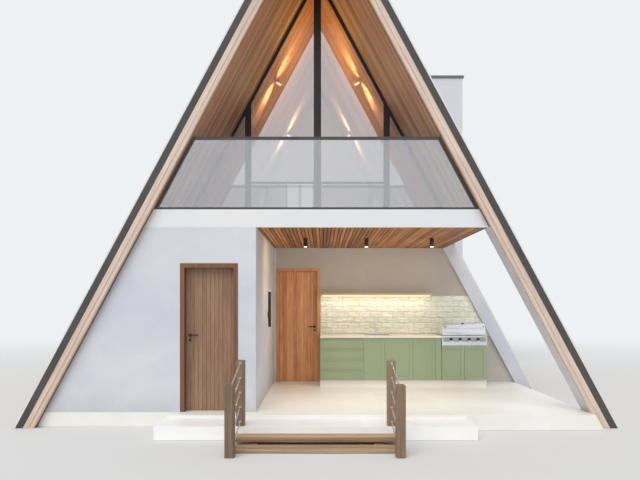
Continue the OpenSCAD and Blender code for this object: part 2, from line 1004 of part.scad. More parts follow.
module tap() {
    color("silver")
        translate([sink_mid, tap_y, worktop_z]) {
            cylinder(r = tap_base_r, h = tap_base_h);
            cylinder(r = tap_r, h = tap_h - tap_bend_r);
            translate([0, -tap_bend_r, tap_h - tap_bend_r])
                rotate([0, -90, 180])
                    rotate([0, 0, -90])
                        rotate_extrude(angle = 180)
                            translate([tap_bend_r, 0])
                                circle(r = tap_r);
            translate([0, -2 * tap_bend_r, tap_h - tap_bend_r - tap_drop])
                cylinder(r = tap_r, h = tap_drop);
        }
}

module splashback() {
    color("palegoldenrod")
        along(porch_back_y - splash_t, porch_back_y)
            room_outline(room_apex, cabinet_top, worktop_z + shelf_above, kitchen_x, wide);
}

module shelf() {
    color("burlywood")
        box(kitchen_x, kitchen_x + shelf_l, porch_back_y - shelf_d, porch_back_y,
            worktop_z + shelf_above, worktop_z + shelf_above + shelf_t);
}

// Grill with a hood that rolls back about a pin at each end

hood_side_gap = 16;
hood_set = 40;
hood_mid_y = counter_y + hood_set + hood_r;
hood_x0 = grill_x + hood_side_gap;
hood_x1 = grill_end - hood_side_gap;
hood_pin_r = 6;
hood_boss_r = 18;
lug_t = 8;
grill_back_y = porch_back_y - splash_t - seat;
knob_r = 24;
knob_l = 35;
knob_count = 4;
firebox_wall = 30;
firebox_half_d = 150;
firebox_depth = 120;
firebox_x0 = hood_x0 + hood_t + hood_run + firebox_wall;
firebox_x1 = hood_x1 - hood_t - hood_run - firebox_wall;
grate_bar_r = 5;
grate_pitch = 38;
grate_drop = 15;
grate_z = worktop_z - grate_drop;
grate_bars = floor((firebox_x1 - firebox_x0) / grate_pitch) - 1;
grate_x0 = (firebox_x0 + firebox_x1 - (grate_bars - 1) * grate_pitch) / 2;

// Cylinder along X between two side distances, about the pin line of the hood
module roll(r, x0, x1) {
    translate([x0, hood_mid_y, hood_z])
        rotate([0, 90, 0])
            cylinder(r = r, h = x1 - x0);
}

module grill_body() {
    color("silver") {
        difference() {
            union() {
                box(grill_x, grill_end, cabinet_y, cabinet_y + front_t, grill_panel_z, worktop_z);
                box(grill_x, grill_end, cabinet_y + front_t, grill_back_y, grill_tray_z, worktop_z);
            }
            difference() {
                roll(hood_r + hood_run, hood_x0 - hood_run, hood_x1 + hood_run);
                roll(hood_r - hood_t - hood_run, hood_x0 + hood_t + hood_run,
                     hood_x1 - hood_t - hood_run);
                box(grill_x, grill_end, cabinet_y, hood_mid_y - hood_boss_r - hood_run,
                    grill_tray_z, worktop_z);
            }
            box(firebox_x0, firebox_x1, hood_mid_y - firebox_half_d, hood_mid_y + firebox_half_d,
                worktop_z - firebox_depth, worktop_z + past);
        }
        for (i = [0 : grate_bars - 1])
            translate([grate_x0 + i * grate_pitch, hood_mid_y - firebox_half_d - grate_bar_r, grate_z])
                rotate([-90, 0, 0])
                    cylinder(r = grate_bar_r, h = 2 * (firebox_half_d + grate_bar_r));
        for (side = [0, 1])
            translate([side == 0 ? hood_x0 - hood_run - lug_t : hood_x1 + hood_run, 0, 0])
                box(0, lug_t, hood_mid_y - hood_boss_r, hood_mid_y + hood_boss_r,
                    worktop_z, hood_z + hood_boss_r);
        roll(hood_pin_r, hood_x0 - hood_run, hood_x0 + hood_t);
        roll(hood_pin_r, hood_x1 - hood_t, hood_x1 + hood_run);
        for (i = [0 : knob_count - 1])
            translate([grill_x + (i + 1) * grill_w / (knob_count + 1), cabinet_y,
                       grill_panel_z + grill_panel_h / 2])
                rotate([90, 0, 0])
                    cylinder(r = knob_r, h = knob_l);
    }
}

handle_r = 10;
handle_arm_r = 8;
handle_out = 45;
handle_tilt = 35;
handle_inset = 90;
dial_r = 32;
dial_t = 14;
dial_tilt = 62;

// Places its children on the hood, out from the pin line at this angle above the front
module hood_radius(x, tilt) {
    translate([x, hood_mid_y, hood_z])
        rotate([tilt, 0, 0])
            translate([0, -hood_r, 0])
                children();
}

module grill_hood() {
    color("silver") {
        difference() {
            union() {
                intersection() {
                    roll(hood_r, hood_x0, hood_x1);
                    box(grill_x, grill_end, hood_mid_y - hood_r, hood_mid_y + hood_r,
                        hood_z, hood_z + hood_r);
                }
                roll(hood_boss_r, hood_x0, hood_x0 + hood_t);
                roll(hood_boss_r, hood_x1 - hood_t, hood_x1);
            }
            roll(hood_r - hood_t, hood_x0 + hood_t, hood_x1 - hood_t);
            roll(hood_pin_r + pin_fit, hood_x0 - past, hood_x1 + past);
        }
        for (x = [hood_x0 + handle_inset, hood_x1 - handle_inset])
            hood_radius(x, -handle_tilt)
                rotate([90, 0, 0])
                    translate([0, 0, -hood_t / 2])
                        cylinder(r = handle_arm_r, h = handle_out + hood_t / 2);
        hood_radius(hood_x0 + handle_inset / 2, -handle_tilt)
            translate([0, -handle_out, 0])
                rotate([0, 90, 0])
                    cylinder(r = handle_r, h = hood_x1 - hood_x0 - handle_inset);
        hood_radius((hood_x0 + hood_x1) / 2, -dial_tilt)
            rotate([90, 0, 0])
                translate([0, 0, -hood_t / 2])
                    cylinder(r = dial_r, h = dial_t);
    }
}

// Lights

spot_xs = [-200, 830, 1930];
spot_y = 1400;

module porch_spots() {
    color("black")
        for (x = spot_xs)
            translate([x, spot_y, ceiling_z - spot_l])
                cylinder(d = spot_d, h = spot_l);
}

wall_lamp_y = 1860;
wall_lamp_z = 1360;
wall_lamp_w = 36;
wall_lamp_out = 45;
reader_w = 60;
reader_h = 90;
reader_out = 25;
reader_gap = 60;
reader_above = 170;
reader_z = wall_lamp_z + reader_above;

module wall_lamp() {
    color("black") {
        box(-porch_side_x, -porch_side_x + wall_lamp_out, wall_lamp_y - wall_lamp_w / 2,
            wall_lamp_y + wall_lamp_w / 2, wall_lamp_z, wall_lamp_z + wall_lamp_l);
        box(-porch_side_x, -porch_side_x + reader_out, wall_lamp_y - reader_gap - reader_w,
            wall_lamp_y - reader_gap, reader_z, reader_z + reader_h);
    }
}

lamp_ys = [2500, 5600];
lamp_z = 5990;
sconce_r = 70;
sconce_off = 15;
sconce_arm = 36;

module slope_lamps() {
    color("black")
        for (side = [-1, 1])
            on_side(side)
                for (y = lamp_ys)
                    translate([face_x(room_apex, lamp_z), y, lamp_z])
                        rotate([0, roof_pitch - 90, 0]) {
                            translate([-sconce_r - sconce_off, 0, -sconce_l / 2])
                                cylinder(r = sconce_r, h = sconce_l);
                            box(-sconce_r, 0, -sconce_arm / 2, sconce_arm / 2,
                                -sconce_arm / 2, sconce_arm / 2);
                        }
}

floor_slab();
landing();
steps();
stair_posts();
stair_rails_left();
stair_rails_right();
front_wall_left();
front_wall_over_door();
porch_side_wall();
back_wall_right();
back_wall_over_door();
upper_floor_slab();
porch_ceiling();
roof_left();
roof_right();
right_leg();
right_rear_wall();
cladding_left();
cladding_right();
roof_edge_trim();
fascia_left();
fascia_right();
lining_left();
lining_right();
guard_frame();
guard_glass();
gable_frame();
gable_glass();
rear_wall();
rear_gable_wall();
rear_window_frames();
rear_window_glass();
tower_side_walls();
tower_end_walls();
tower_slabs();
tower_coping();
front_door_frame();
front_door();
front_door_handle();
porch_door_frame();
porch_door();
porch_door_handle();
cabinet_plinth();
cabinets();
worktop();
sink();
tap();
splashback();
shelf();
grill_body();
grill_hood();
porch_spots();
wall_lamp();
slope_lamps();
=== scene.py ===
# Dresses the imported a-frame cabin: timber boards, render, stone, tiles, glass, metal and lamps.
# Lengths are metres in the part's own frame: X to the right, Y away from the front, Z up.
import math

import bpy
import numpy as np
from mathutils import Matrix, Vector


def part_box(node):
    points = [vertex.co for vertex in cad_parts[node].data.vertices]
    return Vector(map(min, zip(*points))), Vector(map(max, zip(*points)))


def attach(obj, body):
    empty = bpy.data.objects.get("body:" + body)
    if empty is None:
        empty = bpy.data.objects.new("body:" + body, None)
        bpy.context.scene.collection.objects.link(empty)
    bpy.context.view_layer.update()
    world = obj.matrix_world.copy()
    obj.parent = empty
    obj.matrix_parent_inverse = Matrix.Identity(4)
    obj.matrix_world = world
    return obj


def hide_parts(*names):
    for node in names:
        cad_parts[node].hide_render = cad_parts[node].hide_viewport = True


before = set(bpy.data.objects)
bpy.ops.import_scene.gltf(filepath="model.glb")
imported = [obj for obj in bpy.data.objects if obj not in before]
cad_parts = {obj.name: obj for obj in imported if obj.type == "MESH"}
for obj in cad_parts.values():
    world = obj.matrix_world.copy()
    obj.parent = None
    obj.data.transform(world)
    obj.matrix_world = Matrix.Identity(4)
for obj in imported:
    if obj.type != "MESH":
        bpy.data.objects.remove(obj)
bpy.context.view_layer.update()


# The camera stands in front of the cabin at eye height and looks straight at the front, with its
# frame shifted up, so that upright lines stay upright.
EYE = (0.078, -7.5, 1.764)
LENS_MM = 29.7
SHIFT_RIGHT = -0.003
SHIFT_UP = 0.100


def put_in_scene(name, data):
    """A new object that holds this data, linked to the scene."""
    made = bpy.data.objects.new(name, data)
    bpy.context.scene.collection.objects.link(made)
    return made


camera = put_in_scene("camera", bpy.data.cameras.new("camera"))
bpy.context.scene.camera = camera
camera.location = EYE
camera.rotation_euler = (math.radians(90), 0, 0)
camera.data.lens = LENS_MM
camera.data.shift_x = SHIFT_RIGHT
camera.data.shift_y = SHIFT_UP
bpy.context.scene.view_settings.view_transform = "Standard"


# The studio: an even pale sky, one broad soft lamp from the front left, and a pale floor that
# keeps the shadow and fades into the backdrop.
SKY_LIGHT = (0.92, 0.96, 1.0, 1)
SKY_SEEN = (0.86, 0.88, 0.91, 1)
SKY_STRENGTH = 0.70
LAMP_STRENGTH = 1.78
LAMP_SPREAD = math.radians(50)
LAMP_TURN = (math.radians(39), 0, math.radians(-20))
FLOOR_FADE = (10.0, 26.0)
FLOOR_COLOUR = (0.68, 0.67, 0.655, 1)
FLOOR_HALF = 90.0
FLOOR_DROP = 0.003


def add_node(tree, kind, settings=None, places=None, **sockets):
    """Adds one shader node. settings are its own properties; places, by number, and sockets, by
    name, are its inputs. The output of another node is linked, and anything else is a value."""
    made = tree.nodes.new("ShaderNode" + kind)
    for key, value in (settings or {}).items():
        setattr(made, key, value)
    named = {key.replace("_", " "): value for key, value in sockets.items()}
    for key, value in {**(places or {}), **named}.items():
        if isinstance(value, bpy.types.NodeSocket):
            tree.links.new(value, made.inputs[key])
        else:
            made.inputs[key].default_value = value
    return made


def combine(first, second, operation="ADD"):
    """A value put together with another one, or with a number, by a Math operation."""
    return add_node(first.id_data, "Math", {"operation": operation},
                    {0: first, 1: second}).outputs[0]


def mix_shaders(tree, share, first, second):
    """The mix of two shader nodes by a value."""
    return add_node(tree, "MixShader", None,
                    {0: share, 1: first.outputs[0], 2: second.outputs[0]}).outputs[0]


def object_place(tree):
    """Object coordinates, which stay with the piece when it moves."""
    return add_node(tree, "TexCoord").outputs["Object"]


def new_material(name):
    """An empty node material, as (material, tree)."""
    material = bpy.data.materials.new(name)
    material.use_nodes = True
    material.node_tree.nodes.clear()
    return material, material.node_tree


world = bpy.data.worlds.new("studio_sky")
bpy.context.scene.world = world
world.use_nodes = True
sky = world.node_tree
sky.nodes.clear()
ray = add_node(sky, "LightPath").outputs
seen = combine(ray["Is Camera Ray"], ray["Is Glossy Ray"], "MAXIMUM")
seen = combine(seen, ray["Is Transmission Ray"], "MAXIMUM")
sky_lighting = add_node(sky, "Background", Color=SKY_LIGHT, Strength=SKY_STRENGTH)
sky_backdrop = add_node(sky, "Background", Color=SKY_SEEN, Strength=1.0)
add_node(sky, "OutputWorld", Surface=mix_shaders(sky, seen, sky_lighting, sky_backdrop))

lamp = put_in_scene("soft_lamp", bpy.data.lights.new("soft_lamp", "SUN"))
lamp.data.energy = LAMP_STRENGTH
lamp.data.angle = LAMP_SPREAD
lamp.visible_glossy = False
lamp.rotation_euler = LAMP_TURN

floor_material, tree = new_material("studio_floor")
distance = add_node(tree, "VectorMath", {"operation": "LENGTH"}, {0: object_place(tree)})
fade = add_node(tree, "MapRange", {"interpolation_type": "SMOOTHSTEP"},
                Value=distance.outputs["Value"], From_Min=FLOOR_FADE[0], From_Max=FLOOR_FADE[1])
camera_ray = add_node(tree, "LightPath").outputs["Is Camera Ray"]
faded = combine(fade.outputs["Result"], camera_ray, "MULTIPLY")
floor_paint = add_node(tree, "BsdfDiffuse", Color=FLOOR_COLOUR)
floor_far = add_node(tree, "Emission", Color=SKY_SEEN, Strength=1.0)
add_node(tree, "OutputMaterial", Surface=mix_shaders(tree, faded, floor_paint, floor_far))
floor_mesh = bpy.data.meshes.new("studio_floor")
floor_mesh.from_pydata([(x * FLOOR_HALF, y * FLOOR_HALF, -FLOOR_DROP)
                        for x, y in ((-1, -1), (1, -1), (1, 1), (-1, 1))], [], [(0, 1, 2, 3)])
floor_mesh.materials.append(floor_material)
floor_object = put_in_scene("studio_floor", floor_mesh)


# Rendered walls: fine mineral render, painted pale grey, with soft lighter cloudy patches that are
# partly the render's own trowelled mottle and partly a painted reflection of the sky in its slight
# gloss, and a little splash dirt near the ground. The upper floor's edge is a shade whiter, and the
# porch's rear wall is a darker, warmer grey, which is painted shade and painted warm lamp light.
# Each is (base, patch): on the walls the lighter patch colour is partly a painted sky reflection.
WALL_RENDER = ((202, 204, 214), (218, 218, 221))
SLAB_RENDER = ((224, 226, 229), (232, 230, 228))
TOWER_RENDER = ((215, 217, 225), (222, 223, 227))
# The porch's darker, warmer copy of the render is painted shade and painted warm lamp light.
PORCH_SHADED_RENDER = ((185, 178, 170), (196, 189, 182))
SPLASH_DIRT = (150, 140, 126)
CLOUD_SCALE = (0.75, 0.75, 0.55)
CLOUD_EDGES = (0.44, 0.62)
TROWEL_SCALE = (5.0, 5.0, 7.0)
TROWEL_EDGES = (0.30, 0.75)
TROWEL_SHARE = 0.45
TROWEL_DEPTH = 2.0
PATCH_SHARE = 0.62
GRIT_SCALE = (420.0,) * 3
SPLASH_LEVELS = (0.25, -0.2)
SPLASH_RAGGED = 0.5
RENDER_ROUGH = (0.82, 0.62)
RENDER_BUMP = 0.0012


def paint(red, green, blue):
    """Linear colour of a paint given as display values from 0 to 255."""
    shade = np.array([red, green, blue]) / 255.0
    linear = np.where(shade <= 0.04045, shade / 12.92, ((shade + 0.055) / 1.055) ** 2.4)
    return (*[float(v) for v in linear], 1.0)


def new_group(name, inputs, outputs):
    """An empty shader node group, as (tree, outputs of its input node). inputs and outputs are
    {name: kind}."""
    group = bpy.data.node_groups.new(name, "ShaderNodeTree")
    for way, sockets in (("INPUT", inputs), ("OUTPUT", outputs)):
        for socket, kind in sockets.items():
            group.interface.new_socket(socket, in_out=way, socket_type="NodeSocket" + kind)
    return group, group.nodes.new("NodeGroupInput").outputs


def noise_at(place, scale, **sockets):
    """A noise texture read at a place stretched by three factors along its own axes."""
    stretched = add_node(place.id_data, "VectorMath", {"operation": "MULTIPLY"},
                         {0: place, 1: scale})
    return add_node(place.id_data, "TexNoise", Vector=stretched.outputs[0], Scale=1.0,
                    **sockets).outputs["Fac"]


def ramp_between(value, low, high, to_low=0.0, to_high=1.0):
    """The value, carried from one range to another and held at its ends."""
    return add_node(value.id_data, "MapRange", Value=value, From_Min=low, From_Max=high,
                    To_Min=to_low, To_Max=to_high).outputs["Result"]


def blend_colours(share, first, second):
    """Two colours, or outputs that carry them, mixed by a value."""
    return add_node(share.id_data, "Mix", {"data_type": "RGBA"},
                    {0: share, 6: first, 7: second}).outputs[2]


mineral_skin, given = new_group(
    "mineral_skin", dict(Place="Vector", Base="Color", Patch="Color", Dirt="Color", Splash="Float"),
    dict(Colour="Color", Height="Float", Sheen="Float"))
cloud = noise_at(given["Place"], CLOUD_SCALE, Detail=4.0, Distortion=0.8)
trowel = noise_at(given["Place"], TROWEL_SCALE, Detail=5.0)
grit = noise_at(given["Place"], GRIT_SCALE, Detail=2.0)
trowelled = ramp_between(trowel, *TROWEL_EDGES)
# Lighter cloudy patches: a mottle of the material, and on the render walls also a painted sky
# reflection.
patches = combine(ramp_between(cloud, *CLOUD_EDGES), combine(trowelled, TROWEL_SHARE, "MULTIPLY"))
skin = blend_colours(combine(patches, PATCH_SHARE, "MULTIPLY"), given["Base"], given["Patch"])
level = add_node(mineral_skin, "SeparateXYZ", None, {0: given["Place"]}).outputs["Z"]
ragged_level = combine(level, combine(trowel, SPLASH_RAGGED, "MULTIPLY"), "SUBTRACT")
splashed = combine(ramp_between(ragged_level, *SPLASH_LEVELS), given["Splash"], "MULTIPLY")


def end_group(group, **sockets):
    """Links what a node group gives to its output node."""
    end = group.nodes.new("NodeGroupOutput")
    for key, value in sockets.items():
        group.links.new(value, end.inputs[key])


end_group(mineral_skin, Colour=blend_colours(splashed, skin, given["Dirt"]), Sheen=trowelled,
          Height=combine(grit, combine(trowel, TROWEL_DEPTH, "MULTIPLY")))


def use_group(tree, group, **sockets):
    """Places a node group in a tree, and returns its outputs."""
    return add_node(tree, "Group", {"node_tree": group}, **sockets).outputs


def piece_tone(tree):
    """The shade from 0 to 1 that each board or tile of a mesh carries."""
    return add_node(tree, "Attribute", {"attribute_name": "tone"}).outputs["Fac"]


def finish_surface(tree, colour, height, roughness, bump_m, **sockets):
    """A Principled surface with a colour, a roughness and, unless height is None, a bump."""
    if height is not None:
        sockets["Normal"] = add_node(tree, "Bump", Height=height, Distance=bump_m,
                                     Strength=1.0).outputs["Normal"]
    surface = add_node(tree, "BsdfPrincipled", Base_Color=colour, Roughness=roughness,
                       **sockets)
    add_node(tree, "OutputMaterial", Surface=surface.outputs[0])


def mineral(name, base, patch, splash=0.0, rough=RENDER_ROUGH, bump_m=RENDER_BUMP, shaded=None):
    """Render or stone: the cloudy skin over the Object coordinates. shaded is (share, colour) of
    the tone that tells one tile from the next."""
    material, tree = new_material(name)
    skin = use_group(tree, mineral_skin, Place=object_place(tree), Base=paint(*base),
                     Patch=paint(*patch), Dirt=paint(*SPLASH_DIRT), Splash=splash)
    colour = skin["Colour"]
    if shaded is not None:
        share, shade = shaded
        colour = blend_colours(ramp_between(piece_tone(tree), 0.0, 1.0, 0.0, share), colour,
                               paint(*shade))
    finish_surface(tree, colour, skin["Height"], ramp_between(skin["Sheen"], 0.0, 1.0, *rough),
                   bump_m)
    return material


def dress(material, *nodes):
    """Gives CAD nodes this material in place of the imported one."""
    for name in nodes:
        for material_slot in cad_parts[name].material_slots:
            material_slot.material = material


dress(mineral("wall_render", *WALL_RENDER, splash=0.35), "front_wall_left", "front_wall_over_door",
      "porch_side_wall", "right_leg", "right_rear_wall", "rear_wall", "rear_gable_wall")
# Painted shade and painted warm lamp light: a darker, warmer render on the porch's rear wall.
dress(mineral("porch_render_painted_shade", *PORCH_SHADED_RENDER), "back_wall_right", "back_wall_over_door")
dress(mineral("slab_render", *SLAB_RENDER), "upper_floor_slab", "tower_slabs")
dress(mineral("tower_render", *TOWER_RENDER, splash=0.5), "tower_side_walls", "tower_end_walls")


# Floors: large honed stone tiles with tight joints on the porch and on the landing, laid on the
# cast slabs. Each tile has eased top edges and a slightly different shade.
TILE_SIDE = 0.90
TILE_JOINT = 0.003
TILE_RISE = 0.0015
TILE_SUNK = 0.006
TILE_EASE = 0.0012
PORCH_STONE = ((240, 239, 235), (234, 230, 221))
LANDING_STONE = ((248, 247, 246), (243, 241, 238))
HONED = dict(rough=(0.42, 0.30), bump_m=0.0002, shaded=(0.07, (120, 105, 90)))
PORCH_WALL_T = 0.15
rng = np.random.default_rng(11)


def lofted(name, rings, material, grain=None, tone=None, smooth=False, body="building",
           replaced=()):
    """Many closed lofts as one mesh. rings is an array (pieces, rings, points, 3): neighbouring
    rings are joined by quads, and the first and last ring of each piece are closed by flat caps.
    grain gives each point its own lengthwise and crosswise measure, and tone gives each piece its
    shade."""
    pieces, steps, around = rings.shape[:3]
    index = np.arange(pieces * steps * around).reshape(pieces, steps, around)
    turned = np.roll(index, -1, axis=2)
    sides = np.stack([index[:, :-1], turned[:, :-1], turned[:, 1:], index[:, 1:]], -1)
    sides = sides.reshape(-1, 4)
    caps = np.concatenate([index[:, 0, ::-1], index[:, -1]])
    mesh = bpy.data.meshes.new(name)
    mesh.from_pydata(rings.reshape(-1, 3).tolist(), [], sides.tolist() + caps.tolist())
    if smooth:
        mesh.polygons.foreach_set("use_smooth", np.arange(len(mesh.polygons)) < len(sides))
    if grain is not None:
        mesh.attributes.new("grain", "FLOAT_VECTOR", "POINT").data.foreach_set(
            "vector", grain.astype(np.float32).ravel())
    shades = rng.random(pieces) if tone is None else tone
    mesh.attributes.new("tone", "FLOAT", "POINT").data.foreach_set(
        "value", np.repeat(shades, steps * around).astype(np.float32))
    mesh.update()
    mesh.materials.append(material)
    made = put_in_scene(name, mesh)
    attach(made, body)
    if replaced:
        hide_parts(*replaced)


def eased_blocks(x, y, z, ease, top=2):
    """Rings of blocks that rise along one axis and are drawn in by ease at the far end: three rings
    of four points each. x, y and z are (low, high), as numbers or as arrays, one for each block."""
    limits = np.broadcast_arrays(*np.atleast_1d(*x, *y, *z))
    low, high = np.stack(limits[0::2], 1), np.stack(limits[1::2], 1)
    side, front = [axis for axis in (0, 1, 2) if axis != top]
    corners = np.array([[0, 0], [1, 0], [1, 1], [0, 1]], float)
    if top == 1:
        corners = corners[::-1]
    rings = np.zeros((len(low), 3, 4, 3))
    for step, (level, inset) in enumerate(((0.0, 0.0), (1.0, 0.0), (1.0, 1.0))):
        for axis, share in ((side, corners[:, 0]), (front, corners[:, 1])):
            a = low[:, None, axis] + inset * ease
            b = high[:, None, axis] - inset * ease
            rings[:, step, :, axis] = a + (b - a) * share
        height = high[:, top] - low[:, top] - (ease if step == 1 else 0.0)
        rings[:, step, :, top] = (low[:, top] + height * level)[:, None]
    return rings


def laid_tiles(x0, x1, y0, y1, top_z):
    """Rings of square tiles that fill a rectangle, the cut ones at its right and rear."""
    xs = np.append(np.arange(x0, x1, TILE_SIDE), x1)
    ys = np.append(np.arange(y0, y1, TILE_SIDE), y1)
    gx, gy = (g.ravel() for g in np.meshgrid(np.arange(len(xs) - 1), np.arange(len(ys) - 1)))
    half = TILE_JOINT / 2
    return eased_blocks((xs[gx] + half, xs[gx + 1] - half), (ys[gy] + half, ys[gy + 1] - half),
                        (top_z - TILE_SUNK, top_z + TILE_RISE), TILE_EASE)


floor_low, floor_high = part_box("floor_slab")
landing_low, landing_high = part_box("landing")
side_wall_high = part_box("porch_side_wall")[1]
leg_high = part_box("right_leg")[1]
clad_low, clad_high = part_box("cladding_right")
PITCH = math.atan2(clad_high.z, clad_high.x)
porch_back = side_wall_high.y - PORCH_WALL_T
floor_top = floor_high.z
inner_foot = floor_high.x


def roof_x(level):
    """Distance from the middle line to the inner roof face at a level."""
    return inner_foot - level / math.tan(PITCH)


porch_stone = mineral("porch_stone", *PORCH_STONE, **HONED)
landing_stone = mineral("landing_stone", *LANDING_STONE, **HONED)
lofted("porch_floor_tiles", laid_tiles(side_wall_high.x, roof_x(floor_top) - TILE_JOINT,
                                       floor_low.y, porch_back, floor_top),
       porch_stone)
lofted("apron_tiles", laid_tiles(landing_low.x, side_wall_high.x, floor_low.y,
                                 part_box("front_wall_left")[0].y, floor_top),
       porch_stone)
lofted("landing_tiles", laid_tiles(landing_low.x, landing_high.x, landing_low.y, landing_high.y,
                                   landing_high.z), landing_stone)
dress(porch_stone, "floor_slab")
dress(landing_stone, "landing")


# Roof cladding: light tan boards that run up both slopes on the outside, from the ground to the
# ridge, nailed side by side with narrow gaps. Over the side opening they stop at its square edge.
CLAD_WIDTH = 0.125
CLAD_GAP = 0.005
CLAD_T = 0.021
CLAD_SEAT = 0.0003
BOARD_EASE = 0.003
VERGE_T = 0.002
CLADDING = ((205, 174, 142), (162, 128, 98))
BAND_SCALE = (0.55, 16.0, 16.0)
BAND_WEIGHT = 1.5
FIBRE_SCALE = (2.5, 95.0, 95.0)
FIBRE_WEIGHT = 1.3
FIBRE_EDGES = (0.3, 0.7)
PORE_SCALE = (18.0, 620.0, 620.0)
GRAIN_SPREAD = 50.0
PLANK_TONES = (0.25, 0.75)
GROOVE_EDGES = (0.45, 0.50)
# The grooves between door planks are darkened as painted shade.
GROOVE_SHADE_SHARE = 0.75
GROOVE_DEPTH = 2.0
GROOVE_PAINTED_SHADE = 0.55
ALONG_RIGHT = np.array([math.cos(PITCH), 0.0, -math.sin(PITCH)])
OUT_RIGHT = np.array([math.sin(PITCH), 0.0, math.cos(PITCH)])
ACROSS = np.array([0.0, 1.0, 0.0])

wood_figure, given = new_group(
    "wood_figure",
    dict(Place="Vector", Tone="Float", Light="Color", Dark="Color", Contrast="Float"),
    dict(Colour="Color", Height="Float", Fibre="Float"))
bands = noise_at(given["Place"], BAND_SCALE, Detail=3.0, Distortion=1.2)
fibres = noise_at(given["Place"], FIBRE_SCALE, Detail=4.0)
pores = noise_at(given["Place"], PORE_SCALE, Detail=1.0)
figure = combine(combine(bands, -0.5), BAND_WEIGHT, "MULTIPLY")
figure = combine(figure, combine(combine(fibres, -0.5), FIBRE_WEIGHT, "MULTIPLY"))
figure = combine(figure, combine(given["Tone"], -0.5))
figure = combine(combine(figure, given["Contrast"], "MULTIPLY"), 0.5)
end_group(wood_figure, Height=combine(fibres, pores), Fibre=fibres,
          Colour=blend_colours(ramp_between(figure, 0.0, 1.0), given["Dark"], given["Light"]))


def timber(name, light, dark, turn=None, plank=None, contrast=1.0, rough=(0.42, 0.60),
           bump_m=0.0006, fine=1.0):
    """Planed timber: broad bands and fine fibres drawn out along each board. Boards made here carry
    their own grain and tone. On a CAD node, turn rotates the Object coordinates so that the first
    one runs along the grain, plank is (axis, start, width) of its planks, with a groove between
    them that is sunk by a bump and darkened as painted shade, and fine draws the figure closer
    together."""
    material, tree = new_material(name)
    if turn is None:
        place = add_node(tree, "Attribute", {"attribute_name": "grain"})
        tone = piece_tone(tree)
    else:
        place = add_node(tree, "Mapping", Vector=object_place(tree), Rotation=turn,
                         Scale=(1.0, fine, fine))
        tone = 0.5
    if plank is not None:
        axis, start, width = plank
        split = add_node(tree, "SeparateXYZ", None, {0: object_place(tree)})
        count = combine(combine(split.outputs[axis], -start), width, "DIVIDE")
        shade = add_node(tree, "TexWhiteNoise", {"noise_dimensions": "1D"},
                         W=combine(count, 0.0, "FLOOR"))
        tone = ramp_between(shade.outputs["Value"], 0.0, 1.0, *PLANK_TONES)
        off_middle = combine(combine(count, 1.0, "MODULO"), -0.5)
        groove = ramp_between(combine(off_middle, 0.0, "ABSOLUTE"), *GROOVE_EDGES)
    wood = use_group(tree, wood_figure, Place=place.outputs["Vector"], Tone=tone,
                     Light=paint(*light), Dark=paint(*dark), Contrast=contrast)
    colour, height = wood["Colour"], wood["Height"]
    if plank is not None:
        # The groove is darkened as painted shade, besides its sunk bump.
        colour = blend_colours(combine(groove, GROOVE_SHADE_SHARE, "MULTIPLY"), colour,
                               paint(*[GROOVE_PAINTED_SHADE * c for c in dark]))
        height = combine(height, combine(groove, GROOVE_DEPTH, "MULTIPLY"), "SUBTRACT")
    finish_surface(tree, colour, height, ramp_between(wood["Fibre"], *FIBRE_EDGES, *rough), bump_m)
    return material


def slope_boards(side, apex, start, end, edges, thick, lean_start, lean_end, ease):
    """Rings of boards laid on a slope, with their grain. A point is apex + s along the slope + y +
    n outwards, mirrored for the left side. start and end are s at n = 0, and both ends lean by a
    share of n, so that they are cut level or upright. edges are the near and far y of each board,
    and a negative thickness lays them inwards."""
    near, far = np.atleast_1d(*edges)
    levels = ((0.0, 0.0), (thick - math.copysign(ease, thick), 0.0), (thick, ease))
    corner_s = np.array([0.0, 1.0, 1.0, 0.0])
    corner_y = np.array([0.0, 0.0, 1.0, 1.0])
    rings = np.zeros((len(near), 3, 4, 3))
    grain = np.zeros_like(rings)
    seed = (rng.random(len(near)) * GRAIN_SPREAD)[:, None]
    for step, (n, inset) in enumerate(levels):
        a = start + lean_start * n + inset
        b = end + lean_end * n - inset
        s = a + (b - a) * corner_s
        y = (near + inset)[:, None] + (far - near - 2 * inset)[:, None] * corner_y
        point = (np.array([0.0, 0.0, apex]) + s[:, None] * ALONG_RIGHT + n * OUT_RIGHT
                 + y[..., None] * ACROSS)
        rings[:, step] = point * np.array([side, 1.0, 1.0])
        grain[:, step] = np.stack([s + seed, y, np.full_like(y, n) + seed], -1)
    if side * thick < 0:
        rings, grain = rings[:, :, ::-1], grain[:, :, ::-1]
    return rings, grain


def shared_out(y0, y1, width, gap):
    """Near and far edges of boards that fill a stretch with whole boards of about this width."""
    edges = np.linspace(y0, y1, max(1, round((y1 - y0) / width)) + 1)
    return edges[:-1], edges[1:] - gap


clad_apex = clad_high.z - (CLAD_T - CLAD_SEAT) / math.cos(PITCH)
inner_apex = inner_foot * math.tan(PITCH)
soffit_z = leg_high.z
ridge_lean = -math.tan(PITCH)
level_lean = 1.0 / math.tan(PITCH)
level_s = clad_apex / math.sin(PITCH)
cut_s = roof_x(soffit_z) * math.cos(PITCH) + (clad_apex - soffit_z) * math.sin(PITCH)


def cladding(side, y0, y1, end_s=level_s, lean_end=level_lean):
    """Rings and grain of the outer boards between two depths, from the ridge to one end."""
    return slope_boards(side, clad_apex, 0.0, end_s, shared_out(y0, y1, CLAD_WIDTH, CLAD_GAP),
                        CLAD_T - CLAD_SEAT, ridge_lean, lean_end, BOARD_EASE)


